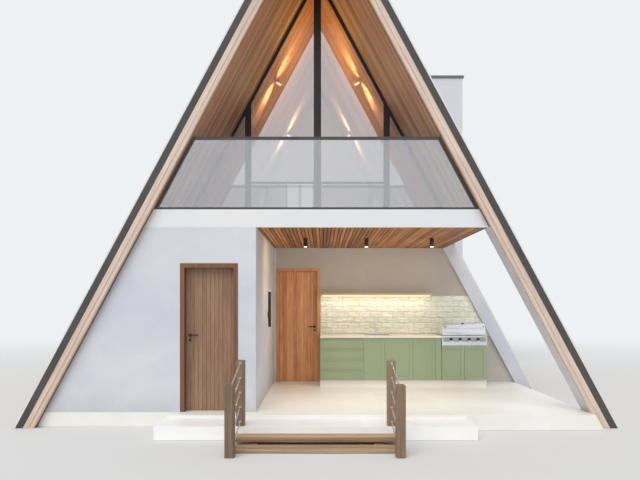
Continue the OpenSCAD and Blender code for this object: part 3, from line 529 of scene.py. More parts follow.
opening_y0 = leg_high.y
opening_y1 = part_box("right_rear_wall")[0].y
front_edge = clad_low.y + VERGE_T
rear_edge = clad_high.y - VERGE_T
cladding_wood = timber("cladding_wood", *CLADDING, contrast=0.9, rough=(0.6, 0.8), bump_m=0.001)
rings, grain = cladding(-1.0, front_edge, rear_edge)
lofted("cladding_boards_left", rings, cladding_wood, grain,
       replaced=("cladding_left",))
stretches = [cladding(1.0, front_edge, opening_y0),
             cladding(1.0, opening_y0, opening_y1, cut_s, 0.0),
             cladding(1.0, opening_y1 + VERGE_T, rear_edge)]
rings, grain = (np.concatenate(parts) for parts in zip(*stretches))
lofted("cladding_boards_right", rings, cladding_wood, grain,
       replaced=("cladding_right",))


# Verges: a thin pale metal strip closes the ends of the boards along the gable edges, and along the
# square-cut edge of the side opening.
VERGE_COAT = ((226, 220, 212), (206, 196, 184))
HAZE_SCALE = (3.0, 3.0, 1.4)
HAZE_EDGES = (0.38, 0.72)
PEEL_SCALE = (260.0,) * 3

coat_skin, given = new_group(
    "coat_skin", dict(Place="Vector", Base="Color", Dust="Color", Amount="Float"),
    dict(Colour="Color", Height="Float", Haze="Float"))
haze = ramp_between(noise_at(given["Place"], HAZE_SCALE, Detail=5.0), *HAZE_EDGES)
dusted = blend_colours(combine(haze, given["Amount"], "MULTIPLY"), given["Base"], given["Dust"])
end_group(coat_skin, Colour=dusted, Haze=haze,
          Height=noise_at(given["Place"], PEEL_SCALE, Detail=1.0))


def coated(name, base, dust, amount=0.4, rough=(0.32, 0.50), metallic=0.0, bump_m=0.0002):
    """Paint, lacquer or powder coat over the Object coordinates, a little dusty in patches."""
    material, tree = new_material(name)
    skin = use_group(tree, coat_skin, Place=object_place(tree), Base=paint(*base),
                     Dust=paint(*dust), Amount=amount)
    finish_surface(tree, skin["Colour"], skin["Height"],
                   ramp_between(skin["Haze"], 0.0, 1.0, *rough), bump_m, Metallic=metallic)
    return material


def verge(side, near_y, start_s=VERGE_T / 2, lean_start=ridge_lean):
    """Ring of one strip over the board ends at a depth, from a place on the slope to the ground."""
    return slope_boards(side, clad_apex, start_s, level_s, (near_y, near_y + VERGE_T),
                        CLAD_T - CLAD_SEAT, lean_start, level_lean, VERGE_T / 4)[0]


verges = [verge(side, y) for side in (-1.0, 1.0) for y in (clad_low.y, rear_edge)]
verges.append(verge(1.0, opening_y1, cut_s, 0.0))
lofted("verge_strips", np.concatenate(verges), coated("verge_coat", *VERGE_COAT))


# Inner lining: warm varnished boards that run up under both slopes over the balcony and the upper
# room, fixed to the rafters side by side.
LINING_WIDTH = 0.080
LINING_GAP = 0.006
LINING_EASE = 0.001
LINING_T = 0.018
LINING = ((220, 167, 130), (151, 105, 78))
lining_low, lining_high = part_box("lining_right")
lining_wood = timber("lining_wood", *LINING, contrast=0.78, rough=(0.40, 0.55))
lining_apex = inner_apex + LINING_T / math.cos(PITCH)
lining_end = (lining_apex - lining_low.z) / math.sin(PITCH)
lining_edges = shared_out(lining_low.y, lining_high.y, LINING_WIDTH, LINING_GAP)
for side, name in ((-1.0, "left"), (1.0, "right")):
    rings, grain = slope_boards(side, lining_apex, 0.0, lining_end, lining_edges, -LINING_T,
                                ridge_lean, level_lean, LINING_EASE)
    lofted("lining_boards_" + name, rings, lining_wood, grain,
           replaced=("lining_" + name,))


# Porch ceiling: narrow varnished slats laid front to rear in the recess under the upper floor, with
# open joints before a dark felt.
CEILING_WIDTH = 0.058
CEILING_GAP = 0.011
FELT_T = 0.002
FELT = (70, 52, 42)
CEILING = ((206, 142, 88), (124, 78, 46))
ceiling_low, ceiling_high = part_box("porch_ceiling")
ceiling_right = roof_x(ceiling_high.z)
ceiling_depth = (ceiling_low.y, ceiling_high.y)
ceiling_wood = timber("ceiling_wood", *CEILING, contrast=1.05, rough=(0.42, 0.58))


def scattered(grain):
    """Grain measures with each piece read at its own place in the wood."""
    return grain + (rng.random(len(grain)) * GRAIN_SPREAD)[:, None, None, None]


slats = eased_blocks(shared_out(ceiling_low.x, ceiling_right, CEILING_WIDTH, CEILING_GAP),
                     ceiling_depth, (FELT_T - ceiling_high.z, -ceiling_low.z), BOARD_EASE)
slats = slats[:, :, ::-1] * np.array([1.0, 1.0, -1.0])
lofted("ceiling_boards", slats, ceiling_wood,
       scattered(slats[..., [1, 0, 2]]), replaced=("porch_ceiling",))
felt = eased_blocks((ceiling_low.x, ceiling_right), ceiling_depth,
                    (ceiling_high.z - FELT_T, ceiling_high.z), FELT_T / 4)
lofted("ceiling_felt", felt, mineral("dark_felt", FELT, FELT))


# Bargeboards: two pale planed boards with shadow grooves between them, up both edges of the gable
# at the front and at the rear. The roof planes behind the boards are plain brown timber.
BARGE = ((234, 215, 200), (192, 165, 146))
ROOF_CORE = ((128, 104, 84), (92, 72, 56))
for name, turn in (("left", (0.0, PITCH, 0.0)), ("right", (0.0, -PITCH, 0.0))):
    dress(timber("barge_wood_" + name, *BARGE, turn=turn, rough=(0.5, 0.68)), "fascia_" + name)
    dress(timber("core_wood_" + name, *ROOF_CORE, turn=turn, rough=(0.6, 0.8)), "roof_" + name)


# Metalwork: folded and powder-coated dark steel on the roof edges, the coping and the guard, black
# aluminium in the glazing, and black steel on handles and lamps. The coat has a faint orange-peel.
DARK_COAT = ((66, 63, 65), (96, 92, 88))
BLACK_COAT = ((36, 36, 40), (62, 60, 60))
COPING_COAT = ((104, 106, 110), (128, 130, 133))
RAIL_COAT = ((205, 200, 190), (180, 172, 160))
LAMP_COAT = ((214, 206, 194), (196, 186, 172))
black_aluminium = coated("black_aluminium", *BLACK_COAT, rough=(0.28, 0.42))
black_metal = coated("black_metal", *BLACK_COAT, amount=0.2, rough=(0.30, 0.42))
rail_metal = coated("rail_metal", *RAIL_COAT, metallic=0.6, rough=(0.25, 0.4))
dress(coated("dark_metal", *DARK_COAT), "roof_edge_trim", "guard_frame")
dress(coated("coping_metal", *COPING_COAT), "tower_coping")
dress(black_aluminium, "gable_frame", "rear_window_frames")
dress(black_metal, "front_door_handle", "porch_door_handle", "porch_spots", "wall_lamp")
dress(coated("lamp_coat", *LAMP_COAT), "slope_lamps")
dress(rail_metal, "stair_rails_left", "stair_rails_right")


# Rear window sills: folded metal on the ledge before each window, tipped a little outwards, with a
# dripping lip over the wall.
SILL_RUN = 0.045
SILL_OUT = 0.022
SILL_T = 0.003
SILL_FALL = 0.006
SILL_LIP = 0.018
SILL_PROFILE = np.array([(-SILL_RUN, 0), (-SILL_RUN, SILL_FALL + SILL_T), (SILL_OUT, SILL_T),
                         (SILL_OUT, SILL_T - SILL_LIP), (SILL_OUT - SILL_T, SILL_T - SILL_LIP),
                         (SILL_OUT - SILL_T, 0)])
WINDOWS = (("rear_wall", -2.50, -1.50, 1.16), ("rear_gable_wall", -0.90, -0.14, 4.075),
           ("tower_end_walls", 1.52, 2.52, 1.16), ("tower_end_walls", 1.52, 2.52, 4.075))
sills = np.zeros((len(WINDOWS), 2, len(SILL_PROFILE), 3))
for sill, (wall, x0, x1, z) in zip(sills, WINDOWS):
    sill[..., 0] = np.array([[x1 - SILL_T], [x0 + SILL_T]])
    sill[..., 1:] = SILL_PROFILE + (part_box(wall)[1].y, z)
lofted("window_sills", sills, black_aluminium)


# Glass: the guard is one clear laminated sheet; the gable and the windows have a solar coat that
# gives back much of the sky. Light from the lamps passes straight through both.
GUARD_TINT = (236, 240, 244)
SOLAR_TINT = (240, 238, 240)
SHADOW_TINT = (0.86, 0.89, 0.88, 1)
GUARD_IOR = 3.1
SOLAR_IOR = 3.5
CLEARNESS = 0.98
GLASS_ROUGH = 0.015


def glazing(name, tint, ior):
    """Thin flat glass that lets lamp light through, with a plain transmission."""
    material, tree = new_material(name)
    pane = add_node(tree, "BsdfPrincipled", Base_Color=paint(*tint),
                    Roughness=GLASS_ROUGH, IOR=ior, Transmission_Weight=CLEARNESS)
    clear = add_node(tree, "BsdfTransparent", Color=SHADOW_TINT)
    in_shadow = add_node(tree, "LightPath").outputs["Is Shadow Ray"]
    add_node(tree, "OutputMaterial", Surface=mix_shaders(tree, in_shadow, pane, clear))
    return material


dress(glazing("guard_pane", GUARD_TINT, GUARD_IOR), "guard_glass")
dress(glazing("solar_pane", SOLAR_TINT, SOLAR_IOR), "gable_glass", "rear_window_glass")


# Steps: two treads of three planed boards, a few millimetres apart, screwed to two bearers, which
# are darkened as painted shade under the treads. The weathered wood is grey brown, and the posts
# are of a darker wood, with rounded corners and a steel flange at each rail end.
TREAD_D = 0.30
TREAD_T = 0.035
TREAD_BOARDS = 3
TREAD_GAP = 0.006
BEARER_W = 0.12
BEARER_INSET = 0.26
BEARER_SETBACK = 0.075
# Tone of the bearers, far below the boards': painted shade under the treads.
BEARER_PAINTED_SHADE = -1.2
BEARER_JOINT = 0.0005
SCREW_R = 0.005
SCREW_RISE = 0.0005
SCREW_APART = 0.06
UP = (0, 0, 1)
DECK = ((192, 163, 131), (130, 105, 82))
POST = ((150, 126, 102), (102, 82, 66))
POST_W = 0.11
POST_ROUND = 0.010
POST_SPREAD = 7.3
CORNER_POINTS = 6
FRONT_POST_H = 0.835
RAIL_COUNT = 5
RAIL_PITCH = 0.19
RAIL_INSET = 0.04
FLANGE_R = 0.017
FLANGE_T = 0.004
WEATHERED = dict(contrast=0.9, rough=(0.55, 0.75), bump_m=0.001)
steps_low, steps_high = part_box("steps")
posts_low, posts_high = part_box("stair_posts")
deck_wood = timber("deck_wood", *DECK, **WEATHERED)
upper_front = landing_low.y - TREAD_D
lower_rear = upper_front - TREAD_T
bearer_xs = np.array([-1.0, 1.0]) * (steps_high.x - BEARER_INSET)
bearer_front = upper_front + BEARER_SETBACK
treads = [(shared_out(front_y, rear_y + TREAD_GAP, (rear_y - front_y) / TREAD_BOARDS, TREAD_GAP),
           top_z) for front_y, rear_y, top_z in ((upper_front, landing_low.y, steps_high.z),
                                                 (steps_low.y, lower_rear, TREAD_T))]
blocks = [eased_blocks((steps_low.x, steps_high.x), edges, (top_z - TREAD_T, top_z), BOARD_EASE)
          for edges, top_z in treads]
for depth, top_z in (((bearer_front, landing_low.y), steps_high.z - TREAD_T),
                     ((lower_rear, bearer_front - BEARER_JOINT), TREAD_T)):
    blocks.append(eased_blocks((bearer_xs - BEARER_W / 2, bearer_xs + BEARER_W / 2), depth,
                               (0.0, top_z), BOARD_EASE))
blocks = np.concatenate(blocks)
# The bearers' tone is painted shade for the dark under the treads; the boards' tones are random.
block_tones_and_shade = np.concatenate([rng.random(2 * TREAD_BOARDS), np.full(4, BEARER_PAINTED_SHADE)])
lofted("tread_boards", blocks, deck_wood, scattered(blocks), block_tones_and_shade,
       replaced=("steps",))


def turned_discs(centres, axes, radii, points=28):
    """Rings of turned parts: for each centre and axis, circles as (distance along it, radius)."""
    angle = np.linspace(0, 2 * math.pi, points, endpoint=False)
    rings = []
    for centre, axis in zip(np.asarray(centres, float), np.asarray(axes, float)):
        first = np.cross(axis, (0.0, 1.0, 0.0) if abs(axis[1]) < 0.9 else (1.0, 0.0, 0.0))
        first /= np.linalg.norm(first)
        second = np.cross(axis, first)
        circle = np.cos(angle)[:, None] * first + np.sin(angle)[:, None] * second
        rings.append([centre + axis * distance + circle * radius for distance, radius in radii])
    return np.array(rings)


screw_places = [(x + across, (front + back) / 2, top_z)
                for (fronts, backs), top_z in treads for front, back in zip(fronts, backs)
                for x in bearer_xs for across in (-SCREW_APART / 2, SCREW_APART / 2)]
screw_turning = ((-SCREW_RISE, SCREW_R), (0.0, SCREW_R), (SCREW_RISE, SCREW_R * 0.8))
lofted("tread_screws",
       turned_discs(screw_places, [UP] * len(screw_places), screw_turning, points=12),
       rail_metal)


def rounded_square(width, round_r):
    """Outline of a square with round corners about the origin: a quarter circle about each corner's
    middle, as an array (points, 2)."""
    middle = math.pi / 4 + np.repeat(np.arange(4), CORNER_POINTS) * math.pi / 2
    sweep = middle - math.pi / 4 + np.tile(np.linspace(0, math.pi / 2, CORNER_POINTS), 4)
    reach = width / 2 - round_r
    return np.stack([reach * np.sign(np.cos(middle)) + round_r * np.cos(sweep),
                     reach * np.sign(np.sin(middle)) + round_r * np.sin(sweep)], 1)


post_xs = (posts_low.x + POST_W / 2, posts_high.x - POST_W / 2)
post_rings = []
for x in post_xs:
    for y, foot_z, top_z in ((posts_low.y + POST_W / 2, 0.0, FRONT_POST_H),
                             (posts_high.y - POST_W / 2, landing_high.z, posts_high.z)):
        levels = ((foot_z, POST_W), (top_z - POST_ROUND, POST_W), (top_z, POST_W - 2 * POST_ROUND))
        post_rings.append([np.insert(rounded_square(w, POST_ROUND * w / POST_W) + (x, y), 2, z, 1)
                           for z, w in levels])
post_rings = np.array(post_rings)
post_grain = post_rings[..., [2, 0, 1]] + (np.arange(4) * POST_SPREAD)[:, None, None, None]
lofted("posts", post_rings, timber("post_wood", *POST, **WEATHERED),
       post_grain, replaced=("stair_posts",))
rail_rise = posts_high.z - FRONT_POST_H
rail_zs = FRONT_POST_H - RAIL_INSET - RAIL_PITCH * np.arange(RAIL_COUNT)
flange_places = [place for x in post_xs for z in rail_zs
                 for place in ((x, posts_low.y + POST_W, z),
                               (x, posts_high.y - POST_W, z + rail_rise))]
flange_axes = [(0, 1, 0), (0, -1, 0)] * (2 * RAIL_COUNT)
flange_turning = ((0.0, FLANGE_R), (FLANGE_T / 2, FLANGE_R), (FLANGE_T, FLANGE_R * 0.75))
lofted("rail_flanges", turned_discs(flange_places, flange_axes, flange_turning, points=20),
       rail_metal)


# Doors: veneered leaves in upright strips, in solid frames, hung on steel hinges. The front door is
# a greyer brown than the porch door.
LEAF_INSET = 0.060
FRONT_PLANKS = 12
PORCH_PLANKS = 11
UPRIGHT = (0.0, math.pi / 2, 0.0)
FRONT_FRAME = ((140, 97, 70), (101, 68, 49))
PORCH_FRAME = ((230, 178, 120), (168, 114, 76))
FRONT_DOOR = ((167, 132, 106), (124, 92, 72))
PORCH_DOOR = ((250, 189, 134), (188, 112, 76))


def planks_of(frame_node, count):
    """Where the planks of a leaf start and how wide they are, from the frame round it."""
    low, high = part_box(frame_node)
    return "X", low.x + LEAF_INSET, (high.x - low.x - 2 * LEAF_INSET) / count


dress(timber("door_frame_wood", *FRONT_FRAME, turn=UPRIGHT, contrast=0.8), "front_door_frame")
dress(timber("porch_frame_wood", *PORCH_FRAME, turn=UPRIGHT, contrast=0.8), "porch_door_frame")
dress(timber("front_door_wood", *FRONT_DOOR, turn=UPRIGHT, contrast=0.68, fine=2.4,
             plank=planks_of("front_door_frame", FRONT_PLANKS)), "front_door")
dress(timber("porch_door_wood", *PORCH_DOOR, turn=UPRIGHT, contrast=0.8, fine=2.4,
             plank=planks_of("porch_door_frame", PORCH_PLANKS)), "porch_door")


# Kitchen: sage green lacquered cabinets on a cream stone plinth under a worktop of the same stone,
# with a pressed steel sink and tap, and a wooden shelf on the wall.
SAGE_LACQUER = ((150, 164, 132), (160, 172, 144))
CREAM_STONE = ((238, 234, 224), (229, 221, 206))
SHELF = ((222, 208, 168), (194, 176, 132))
STEEL = (246, 247, 250)
STEEL_DULL = (230, 231, 236)
SCRATCH_SCALE = (2.0, 260.0, 260.0)
SMUDGE_SCALE = (4.0,) * 3
SCUFF_EDGES = (0.10, 0.40)
SMUDGE_EDGES = (0.7, 1.3)
BRUSHED_ROUGH = (0.24, 0.36)
BRUSHED_BUMP = 0.00005
SINK_T = 0.006
DRAIN_R = 0.044
DRAIN_T = 0.003
DRAIN_TURNING = ((0.0, DRAIN_R), (DRAIN_T, DRAIN_R * 0.97), (DRAIN_T, DRAIN_R * 0.72),
                 (DRAIN_T / 3, DRAIN_R * 0.6), (DRAIN_T / 3, DRAIN_R * 0.2),
                 (DRAIN_T, DRAIN_R * 0.14))
dress(coated("sage_lacquer", *SAGE_LACQUER, amount=0.5, rough=(0.34, 0.46), bump_m=0.00015),
      "cabinets")
dress(mineral("cream_stone", *CREAM_STONE, **HONED), "worktop", "cabinet_plinth")
dress(timber("shelf_wood", *SHELF, turn=(0.0, 0.0, 0.0)), "shelf")
brushed_steel, tree = new_material("brushed_steel")
steel_place = object_place(tree)
scratches = noise_at(steel_place, SCRATCH_SCALE, Detail=3.0)
smudges = noise_at(steel_place, SMUDGE_SCALE, Detail=3.0)
scuffs = ramp_between(combine(scratches, smudges, "MULTIPLY"), *SCUFF_EDGES)
finish_surface(tree, blend_colours(scuffs, paint(*STEEL_DULL), paint(*STEEL)), scratches,
               ramp_between(combine(scratches, smudges), *SMUDGE_EDGES, *BRUSHED_ROUGH),
               BRUSHED_BUMP, Metallic=1.0)
dress(brushed_steel, "sink", "tap", "grill_body", "grill_hood")
sink_low, sink_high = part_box("sink")
drain_place = ((sink_low.x + sink_high.x) / 2, (sink_low.y + sink_high.y) / 2, sink_low.z + SINK_T)
lofted("sink_drain", turned_discs([drain_place], [UP], DRAIN_TURNING), brushed_steel)


# Grill: the knobs stand in black bezels on a thin grey-green strip, a painted reflection on the
# steel front, and have a mark each, the dial on the hood has a black face in a steel rim, and the
# handle ends in black caps. All are pressed or screwed on.
KNOB_OUT = 0.035
KNOB_COUNT = 4
BEZEL_R = 0.031
BEZEL_T = 0.003
MARK_W = 0.004
MARK_H = 0.018
MARK_T = 0.0008
PANEL_T = 0.0015
PANEL_EDGE = 0.022
PANEL_HALF_H = 0.042
PANEL_MID = 0.07
# The strip's grey-green coat is a painted reflection on the steel front.
PANEL_REFLECTION_COAT = ((150, 158, 160), (168, 174, 175))
HOOD_AXIS = (2.64, 1.18)
HOOD_SIDE = 0.016
DIAL_OUT = 0.240
DIAL_TILT = math.radians(62)
DIAL_FACE_R = 0.027
DIAL_FACE_T = 0.0015
GRIP_OUT = 0.275
GRIP_TILT = math.radians(35)
GRIP_INSET = 0.045
GRIP_R = 0.0125
GRIP_CAP = 0.012
BEZEL_TURNING = ((0.0, BEZEL_R), (BEZEL_T * 0.7, BEZEL_R), (BEZEL_T, BEZEL_R - BEZEL_T / 2))
DIAL_TURNING = ((0.0, DIAL_FACE_R), (DIAL_FACE_T, DIAL_FACE_R),
                (DIAL_FACE_T * 1.3, DIAL_FACE_R * 0.93))
GRIP_TURNING = ((-GRIP_CAP, GRIP_R), (GRIP_CAP / 3, GRIP_R), (GRIP_CAP / 2, GRIP_R * 0.8))


def on_hood(x, out, tilt):
    """Place and outward direction on the hood, at a distance from its pin line and an angle over
    the front."""
    direction = np.array([0.0, -math.cos(tilt), math.sin(tilt)])
    return np.array([x, HOOD_AXIS[0], HOOD_AXIS[1]]) + out * direction, direction


def front_plates(x, z, back_y, thick):
    """Rings of thin plates on an upright face that looks to the front, with eased outer edges."""
    rings = eased_blocks(x, (-back_y, thick - back_y), z, thick / 2, top=1)
    return rings[:, :, ::-1] * np.array([1.0, -1.0, 1.0])


grill_low, grill_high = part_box("grill_body")
panel_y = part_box("cabinets")[0].y
panel_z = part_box("worktop")[1].z - PANEL_MID
knob_pitch = (grill_high.x - grill_low.x) / (KNOB_COUNT + 1)
knob_xs = grill_low.x + np.arange(1, KNOB_COUNT + 1) * knob_pitch
hood_x0, hood_x1 = grill_low.x + HOOD_SIDE, grill_high.x - HOOD_SIDE
# The strip's grey-green coat is a painted reflection on the steel front below the hood.
lofted("control_panel_painted_reflection", front_plates((grill_low.x + PANEL_EDGE, grill_high.x - PANEL_EDGE),
                                     (panel_z - PANEL_HALF_H, panel_z + PANEL_HALF_H), panel_y,
                                     PANEL_T),
       coated("panel_painted_reflection", *PANEL_REFLECTION_COAT))
lofted("knob_bezels", turned_discs([(x, panel_y - PANEL_T, panel_z) for x in knob_xs],
                                   [(0, -1, 0)] * KNOB_COUNT, BEZEL_TURNING),
       black_metal)
lofted("knob_marks", front_plates((knob_xs - MARK_W / 2, knob_xs + MARK_W / 2),
                                  (panel_z, panel_z + MARK_H), panel_y - KNOB_OUT, MARK_T),
       black_metal)
dial_place, dial_axis = on_hood((hood_x0 + hood_x1) / 2, DIAL_OUT, DIAL_TILT)
lofted("dial_face", turned_discs([dial_place], [dial_axis], DIAL_TURNING), black_metal,
       body="grill_hood_body")
grip_ends = [on_hood(x, GRIP_OUT, GRIP_TILT)[0]
             for x in (hood_x0 + GRIP_INSET, hood_x1 - GRIP_INSET)]
lofted("handle_caps", turned_discs(grip_ends, [(-1, 0, 0), (1, 0, 0)], GRIP_TURNING),
       black_metal, body="grill_hood_body")


# Splashback: hand-made glazed tiles, each one wavy and no two alike, pale cream to light green,
# laid in rows on a grey-cream bed from the worktop to the shelf and on to the slope.
TILE_W = 0.22
TILE_H = 0.108
GLAZE_JOINT = 0.002
GLAZE_STAND = 0.006
GLAZE_WAVE = 0.0045
FULL_TURN = 6.3
WAVE_DRAWS = ((0.9,), (FULL_TURN,), (0.6,))
WAVES_UP = 1.6
WAVE_SKEW = 0.35
CROSS_WAVE = (7.0, 3)
CROSS_SHARE = 0.6
RIM_STEEP = (5.0, 3.5)
GLAZE_POINTS = 15
GLAZE_ROWS = 9
BED_T = 0.006
GLAZE_CREAM = (252, 250, 243)
GLAZE_GREEN = (232, 238, 217)
GLAZE_SHADE = (214, 218, 197)
BED_PAINT = (222, 219, 204)
FLOW_SCALE = (6.0, 6.0, 17.0)
FLOW_EDGES = (0.48, 0.74)
SPECK_SCALE = (38.0, 38.0, 60.0)
SPECK_EDGES = (0.55, 0.78)
SPECK_SHARE = 0.55
TONE_SHARE = 0.22
GLOSS_EDGES = (0.3, 0.7)
GLAZE_ROUGH = (0.10, 0.22)
GLAZE_BUMP = 0.001
GLAZE_COAT = 0.6
splash_low, splash_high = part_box("splashback")


def glazed_tiles(x0, z0, x1, z1, back_y):
    """Closed wavy tiles. Each ring is the tile's outline at one height: a wavy front line from left
    to right, then its two back corners. The front stands out by a pillow, sin(pi u) sin(pi v) to a
    low power, plus two sine waves of the tile's own direction and phase."""
    columns = np.arange(math.ceil((x1 - x0) / TILE_W) + 1)
    rows = np.arange(round((z1 - z0) / TILE_H))
    gx, gz = (g.ravel() for g in np.meshgrid(columns, rows))
    row_h = (z1 - z0) / len(rows)
    low_z = z0 + gz * row_h + GLAZE_JOINT / 2
    start_x = x0 + (gx - gz % 2 * 0.5) * TILE_W
    kept = start_x + 2 * GLAZE_JOINT < roof_x(low_z + row_h)
    low_z, start_x = low_z[kept], start_x[kept]
    u = np.linspace(0, 1, GLAZE_POINTS)[None, None, :]
    v = np.linspace(0, 1, GLAZE_ROWS)[None, :, None]
    z = low_z[:, None, None] + v * (row_h - GLAZE_JOINT) + 0 * u
    right = np.minimum(start_x[:, None, None] + TILE_W, roof_x(z)) - GLAZE_JOINT / 2
    left = np.maximum(start_x, x0)[:, None, None] + GLAZE_JOINT / 2
    x = left + (right - left) * u
    draws = rng.random((3, len(low_z))) * WAVE_DRAWS
    turn, phase, pace = draws[..., None, None]
    wave = np.sin((WAVES_UP + pace) * FULL_TURN * (v + WAVE_SKEW * turn * u) + phase)
    wave = wave + CROSS_SHARE * np.sin(CROSS_WAVE[0] * u * (1 + pace) + CROSS_WAVE[1] * v + phase)
    rim_u, rim_v = [np.clip(np.sin(math.pi * t) * steep, 0, 1)
                    for t, steep in zip((u, v), RIM_STEEP)]
    rim = rim_u * rim_v
    rings = np.full((len(low_z), GLAZE_ROWS, GLAZE_POINTS + 2, 3), back_y)
    rings[..., :-2, 1] = back_y - BED_T - (GLAZE_STAND * rim ** 0.5 + GLAZE_WAVE * rim * wave)
    rings[..., 0] = np.concatenate([x, x[..., -1:], x[..., :1]], -1)
    rings[..., 2] = z[..., :1]
    return rings


glaze, tree = new_material("tile_glaze")
glaze_place = object_place(tree)
flow = noise_at(glaze_place, FLOW_SCALE, Detail=4.0, Distortion=1.5)
specks = noise_at(glaze_place, SPECK_SCALE, Detail=3.0)
flow_and_tone = combine(flow, combine(piece_tone(tree), TONE_SHARE, "MULTIPLY"))
glaze_colour = blend_colours(ramp_between(flow_and_tone, *FLOW_EDGES), paint(*GLAZE_CREAM),
                             paint(*GLAZE_GREEN))
glaze_colour = blend_colours(ramp_between(specks, *SPECK_EDGES, 0.0, SPECK_SHARE), glaze_colour,
                             paint(*GLAZE_SHADE))
finish_surface(tree, glaze_colour, specks, ramp_between(flow, *GLOSS_EDGES, *GLAZE_ROUGH),
               GLAZE_BUMP, Coat_Weight=GLAZE_COAT)
lofted("splash_tiles", glazed_tiles(splash_low.x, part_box("worktop")[1].z, splash_high.x,
                                    splash_high.z, splash_high.y),
       glaze, smooth=True, replaced=("splashback",))
bed = np.zeros((1, 2, 4, 3))
for ring, z in zip(bed[0], (splash_low.z, splash_high.z)):
    ring[:, 0] = splash_low.x, roof_x(z), roof_x(z), splash_low.x
    ring[:, 1] = splash_high.y - BED_T * np.array([1, 1, 0, 0])
    ring[:, 2] = z
lofted("splash_bed", bed, mineral("tile_bed", BED_PAINT, BED_PAINT))


# Lights: turned black ceiling spots with a recessed lens, a lit strip under the shelf, a slim lamp
# on the porch wall with a lens at its top, and flat drums on the slopes that shine up and down the
# boards. Soft helper lights beside them stand for the light that the rooms give back.
WARM = (1.0, 0.82, 0.60)
AMBER = (1.0, 0.72, 0.32)
GOLD = (1.0, 0.70, 0.22)
FILL_COLOUR = (1.0, 0.92, 0.80)
BEAM_COLOUR = (1.0, 0.86, 0.54)
WARM_SEEN = (1.0, 0.86, 0.62, 1)
STRIP_SEEN = (1.0, 0.92, 0.62, 1)
LENS_ROUGH = 0.4
DOWN = (0, 0, -1)


def glowing(name, colour, strength):
    """A lit diffuser: a satin plastic that shines by itself."""
    material, tree = new_material(name)
    finish_surface(tree, colour, None, LENS_ROUGH, 0.0, Emission_Color=colour,
                   Emission_Strength=strength)
    return material


def local_lamp(name, kind, place, aim, watts, colour=WARM, **settings):
    """A small warm light of the cabin's own, at a place and pointing along aim."""
    light = put_in_scene(name, bpy.data.lights.new(name, kind))
    for key, value in dict(color=colour, energy=watts, **settings).items():
        setattr(light.data, key, value)
    light.location = place
    light.rotation_euler = Vector(aim).to_track_quat("-Z", "Y").to_euler()


def soft_panel(name, place, aim, watts, colour, width, depth):
    """An area light of a width and a depth."""
    local_lamp(name, "AREA", place, aim, watts, colour, shape="RECTANGLE", size=width, size_y=depth)


LENS_GLOW = 6.0
STRIP_GLOW = 1.6
DRUM_GLOW = 2.2
LENS_R = 0.027
LENS_TURNING = ((-0.004, LENS_R), (0.002, LENS_R), (0.003, LENS_R * 0.7))
SPOT_XS = (-0.20, 0.83, 1.93)
SPOT_WATTS = 33.0
SPOT_CONE = math.radians(120)
SPOT_DROP = 0.02
SPOT_SOFT = dict(spot_blend=0.9, shadow_soft_size=0.05)
spot_low, spot_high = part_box("porch_spots")
spot_y = (spot_low.y + spot_high.y) / 2
lens_glow = glowing("lens_glow", WARM_SEEN, LENS_GLOW)
lofted("spot_lenses",
       turned_discs([(x, spot_y, spot_low.z) for x in SPOT_XS], [DOWN] * 3, LENS_TURNING),
       lens_glow)
for i, x in enumerate(SPOT_XS):
    local_lamp(f"porch_spot_{i}", "SPOT", (x, spot_y, spot_low.z - SPOT_DROP), DOWN, SPOT_WATTS,
               spot_size=SPOT_CONE, **SPOT_SOFT)

STRIP_WATTS = 2.6
STRIP_W = 0.022
STRIP_T = 0.009
STRIP_EASE = 0.002
STRIP_SET = 0.03
STRIP_BACK = 0.14
STRIP_LIGHT_OFF = (0.06, 0.014)
STRIP_LIGHT_AIM = (0, 0.20, -1)
STRIP_LIGHT_D = 0.03
shelf_low, shelf_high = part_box("shelf")
strip_x = (shelf_low.x + STRIP_SET, shelf_high.x - STRIP_SET)
strip_y = shelf_high.y - STRIP_BACK
strip = eased_blocks(strip_x, (strip_y - STRIP_W, strip_y), (shelf_low.z - STRIP_T, shelf_low.z),
                     STRIP_EASE)
lofted("shelf_light_strip", strip, glowing("strip_glow", STRIP_SEEN, STRIP_GLOW))
soft_panel("shelf_strip_light",
           ((shelf_low.x + shelf_high.x) / 2, strip_y - STRIP_LIGHT_OFF[0],
            shelf_low.z - STRIP_LIGHT_OFF[1]),
           STRIP_LIGHT_AIM, STRIP_WATTS, WARM, strip_x[1] - strip_x[0], STRIP_LIGHT_D)

WALL_LENS_INSET = 0.006
WALL_LENS_DEPTH = (0.028, 0.008)
WALL_LENS_RISE = (-0.001, 0.002)
WALL_LENS_EASE = 0.0005
lamp_low, lamp_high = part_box("wall_lamp")
wall_lens = eased_blocks((lamp_low.x + WALL_LENS_INSET, lamp_high.x - WALL_LENS_INSET),
                         [lamp_high.y - depth for depth in WALL_LENS_DEPTH],
                         [lamp_high.z + rise for rise in WALL_LENS_RISE], WALL_LENS_EASE)
lofted("wall_lamp_lens", wall_lens, lens_glow)

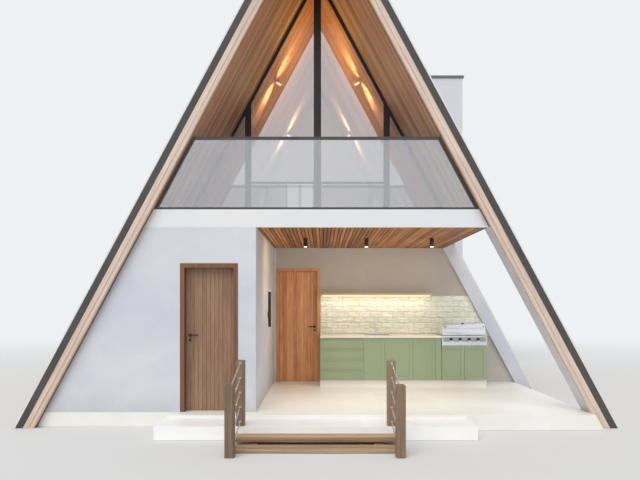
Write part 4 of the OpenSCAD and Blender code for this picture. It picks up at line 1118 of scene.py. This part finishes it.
WASH_SOFT = dict(spot_blend=1.0, shadow_soft_size=0.15)
WASHES = (((SPOT_XS[0], spot_y, spot_low.z - 0.08), (-1.0, 0.1, -0.6), 13.0, math.radians(140)),
          ((0.5, 2.0, 2.35), (-0.2, 1.0, 0.1), 3.0, math.radians(150)),
          ((1.6, 2.0, 2.35), (0.2, 1.0, 0.1), 2.0, math.radians(150)))
FILL_PLACE = (1.3, 1.2, 2.62)
FILL_AIM = (0, 1.8, -1.5)
FILL_WATTS = 10.0
FILL_SIZE = (2.2, 0.3)
for i, (place, aim, watts, cone) in enumerate(WASHES):
    local_lamp(f"wall_wash_{i}", "SPOT", place, aim, watts, AMBER, spot_size=cone, **WASH_SOFT)
soft_panel("kitchen_fill", FILL_PLACE, FILL_AIM, FILL_WATTS, FILL_COLOUR, *FILL_SIZE)

LAMP_YS = (2.5, 5.6)
LAMP_Z = 5.99
LAMP_OFF = 0.085
LAMP_HALF = 0.025
LAMP_LENS_R = 0.050
DRUM_TURNING = ((-0.004, LAMP_LENS_R), (0.002, LAMP_LENS_R), (0.004, LAMP_LENS_R * 0.7))
BEAM_START = 0.03
BEAM_LEAN = 0.75
BEAM_WATTS = 170.0
BEAM_CONE = math.radians(84)
BEAM_SOFT = dict(spot_blend=0.6, shadow_soft_size=0.02)
ROOM_PLACE = (0.0, 2.6, 5.0)
ROOM_WATTS = 21.0
ROOM_SIZE = (0.6, 1.4)
APEX_PLACE = (0.0, 2.5, 6.05)
APEX_WATTS = 17.0
APEX_SIZE = (0.25, 1.3)
lens_places, lens_axes = [], []
for side in (-1.0, 1.0):
    out = OUT_RIGHT * (side, 1, 1)
    for y in LAMP_YS:
        middle = np.array([side * roof_x(LAMP_Z), y, LAMP_Z]) - out * LAMP_OFF
        for end in (-1.0, 1.0):
            axis = ALONG_RIGHT * (side, 1, 1) * end
            lens_places.append(middle + axis * LAMP_HALF)
            lens_axes.append(axis)
            local_lamp(f"slope_beam_{len(lens_axes)}", "SPOT",
                       middle + axis * (LAMP_HALF + BEAM_START), axis + out * BEAM_LEAN,
                       BEAM_WATTS, BEAM_COLOUR, spot_size=BEAM_CONE, **BEAM_SOFT)
lofted("slope_lamp_lenses", turned_discs(lens_places, lens_axes, DRUM_TURNING),
       glowing("drum_glow", WARM_SEEN, DRUM_GLOW))
soft_panel("upper_room_light", ROOM_PLACE, UP, ROOM_WATTS, GOLD, *ROOM_SIZE)
soft_panel("apex_light", APEX_PLACE, UP, APEX_WATTS, GOLD, *APEX_SIZE)
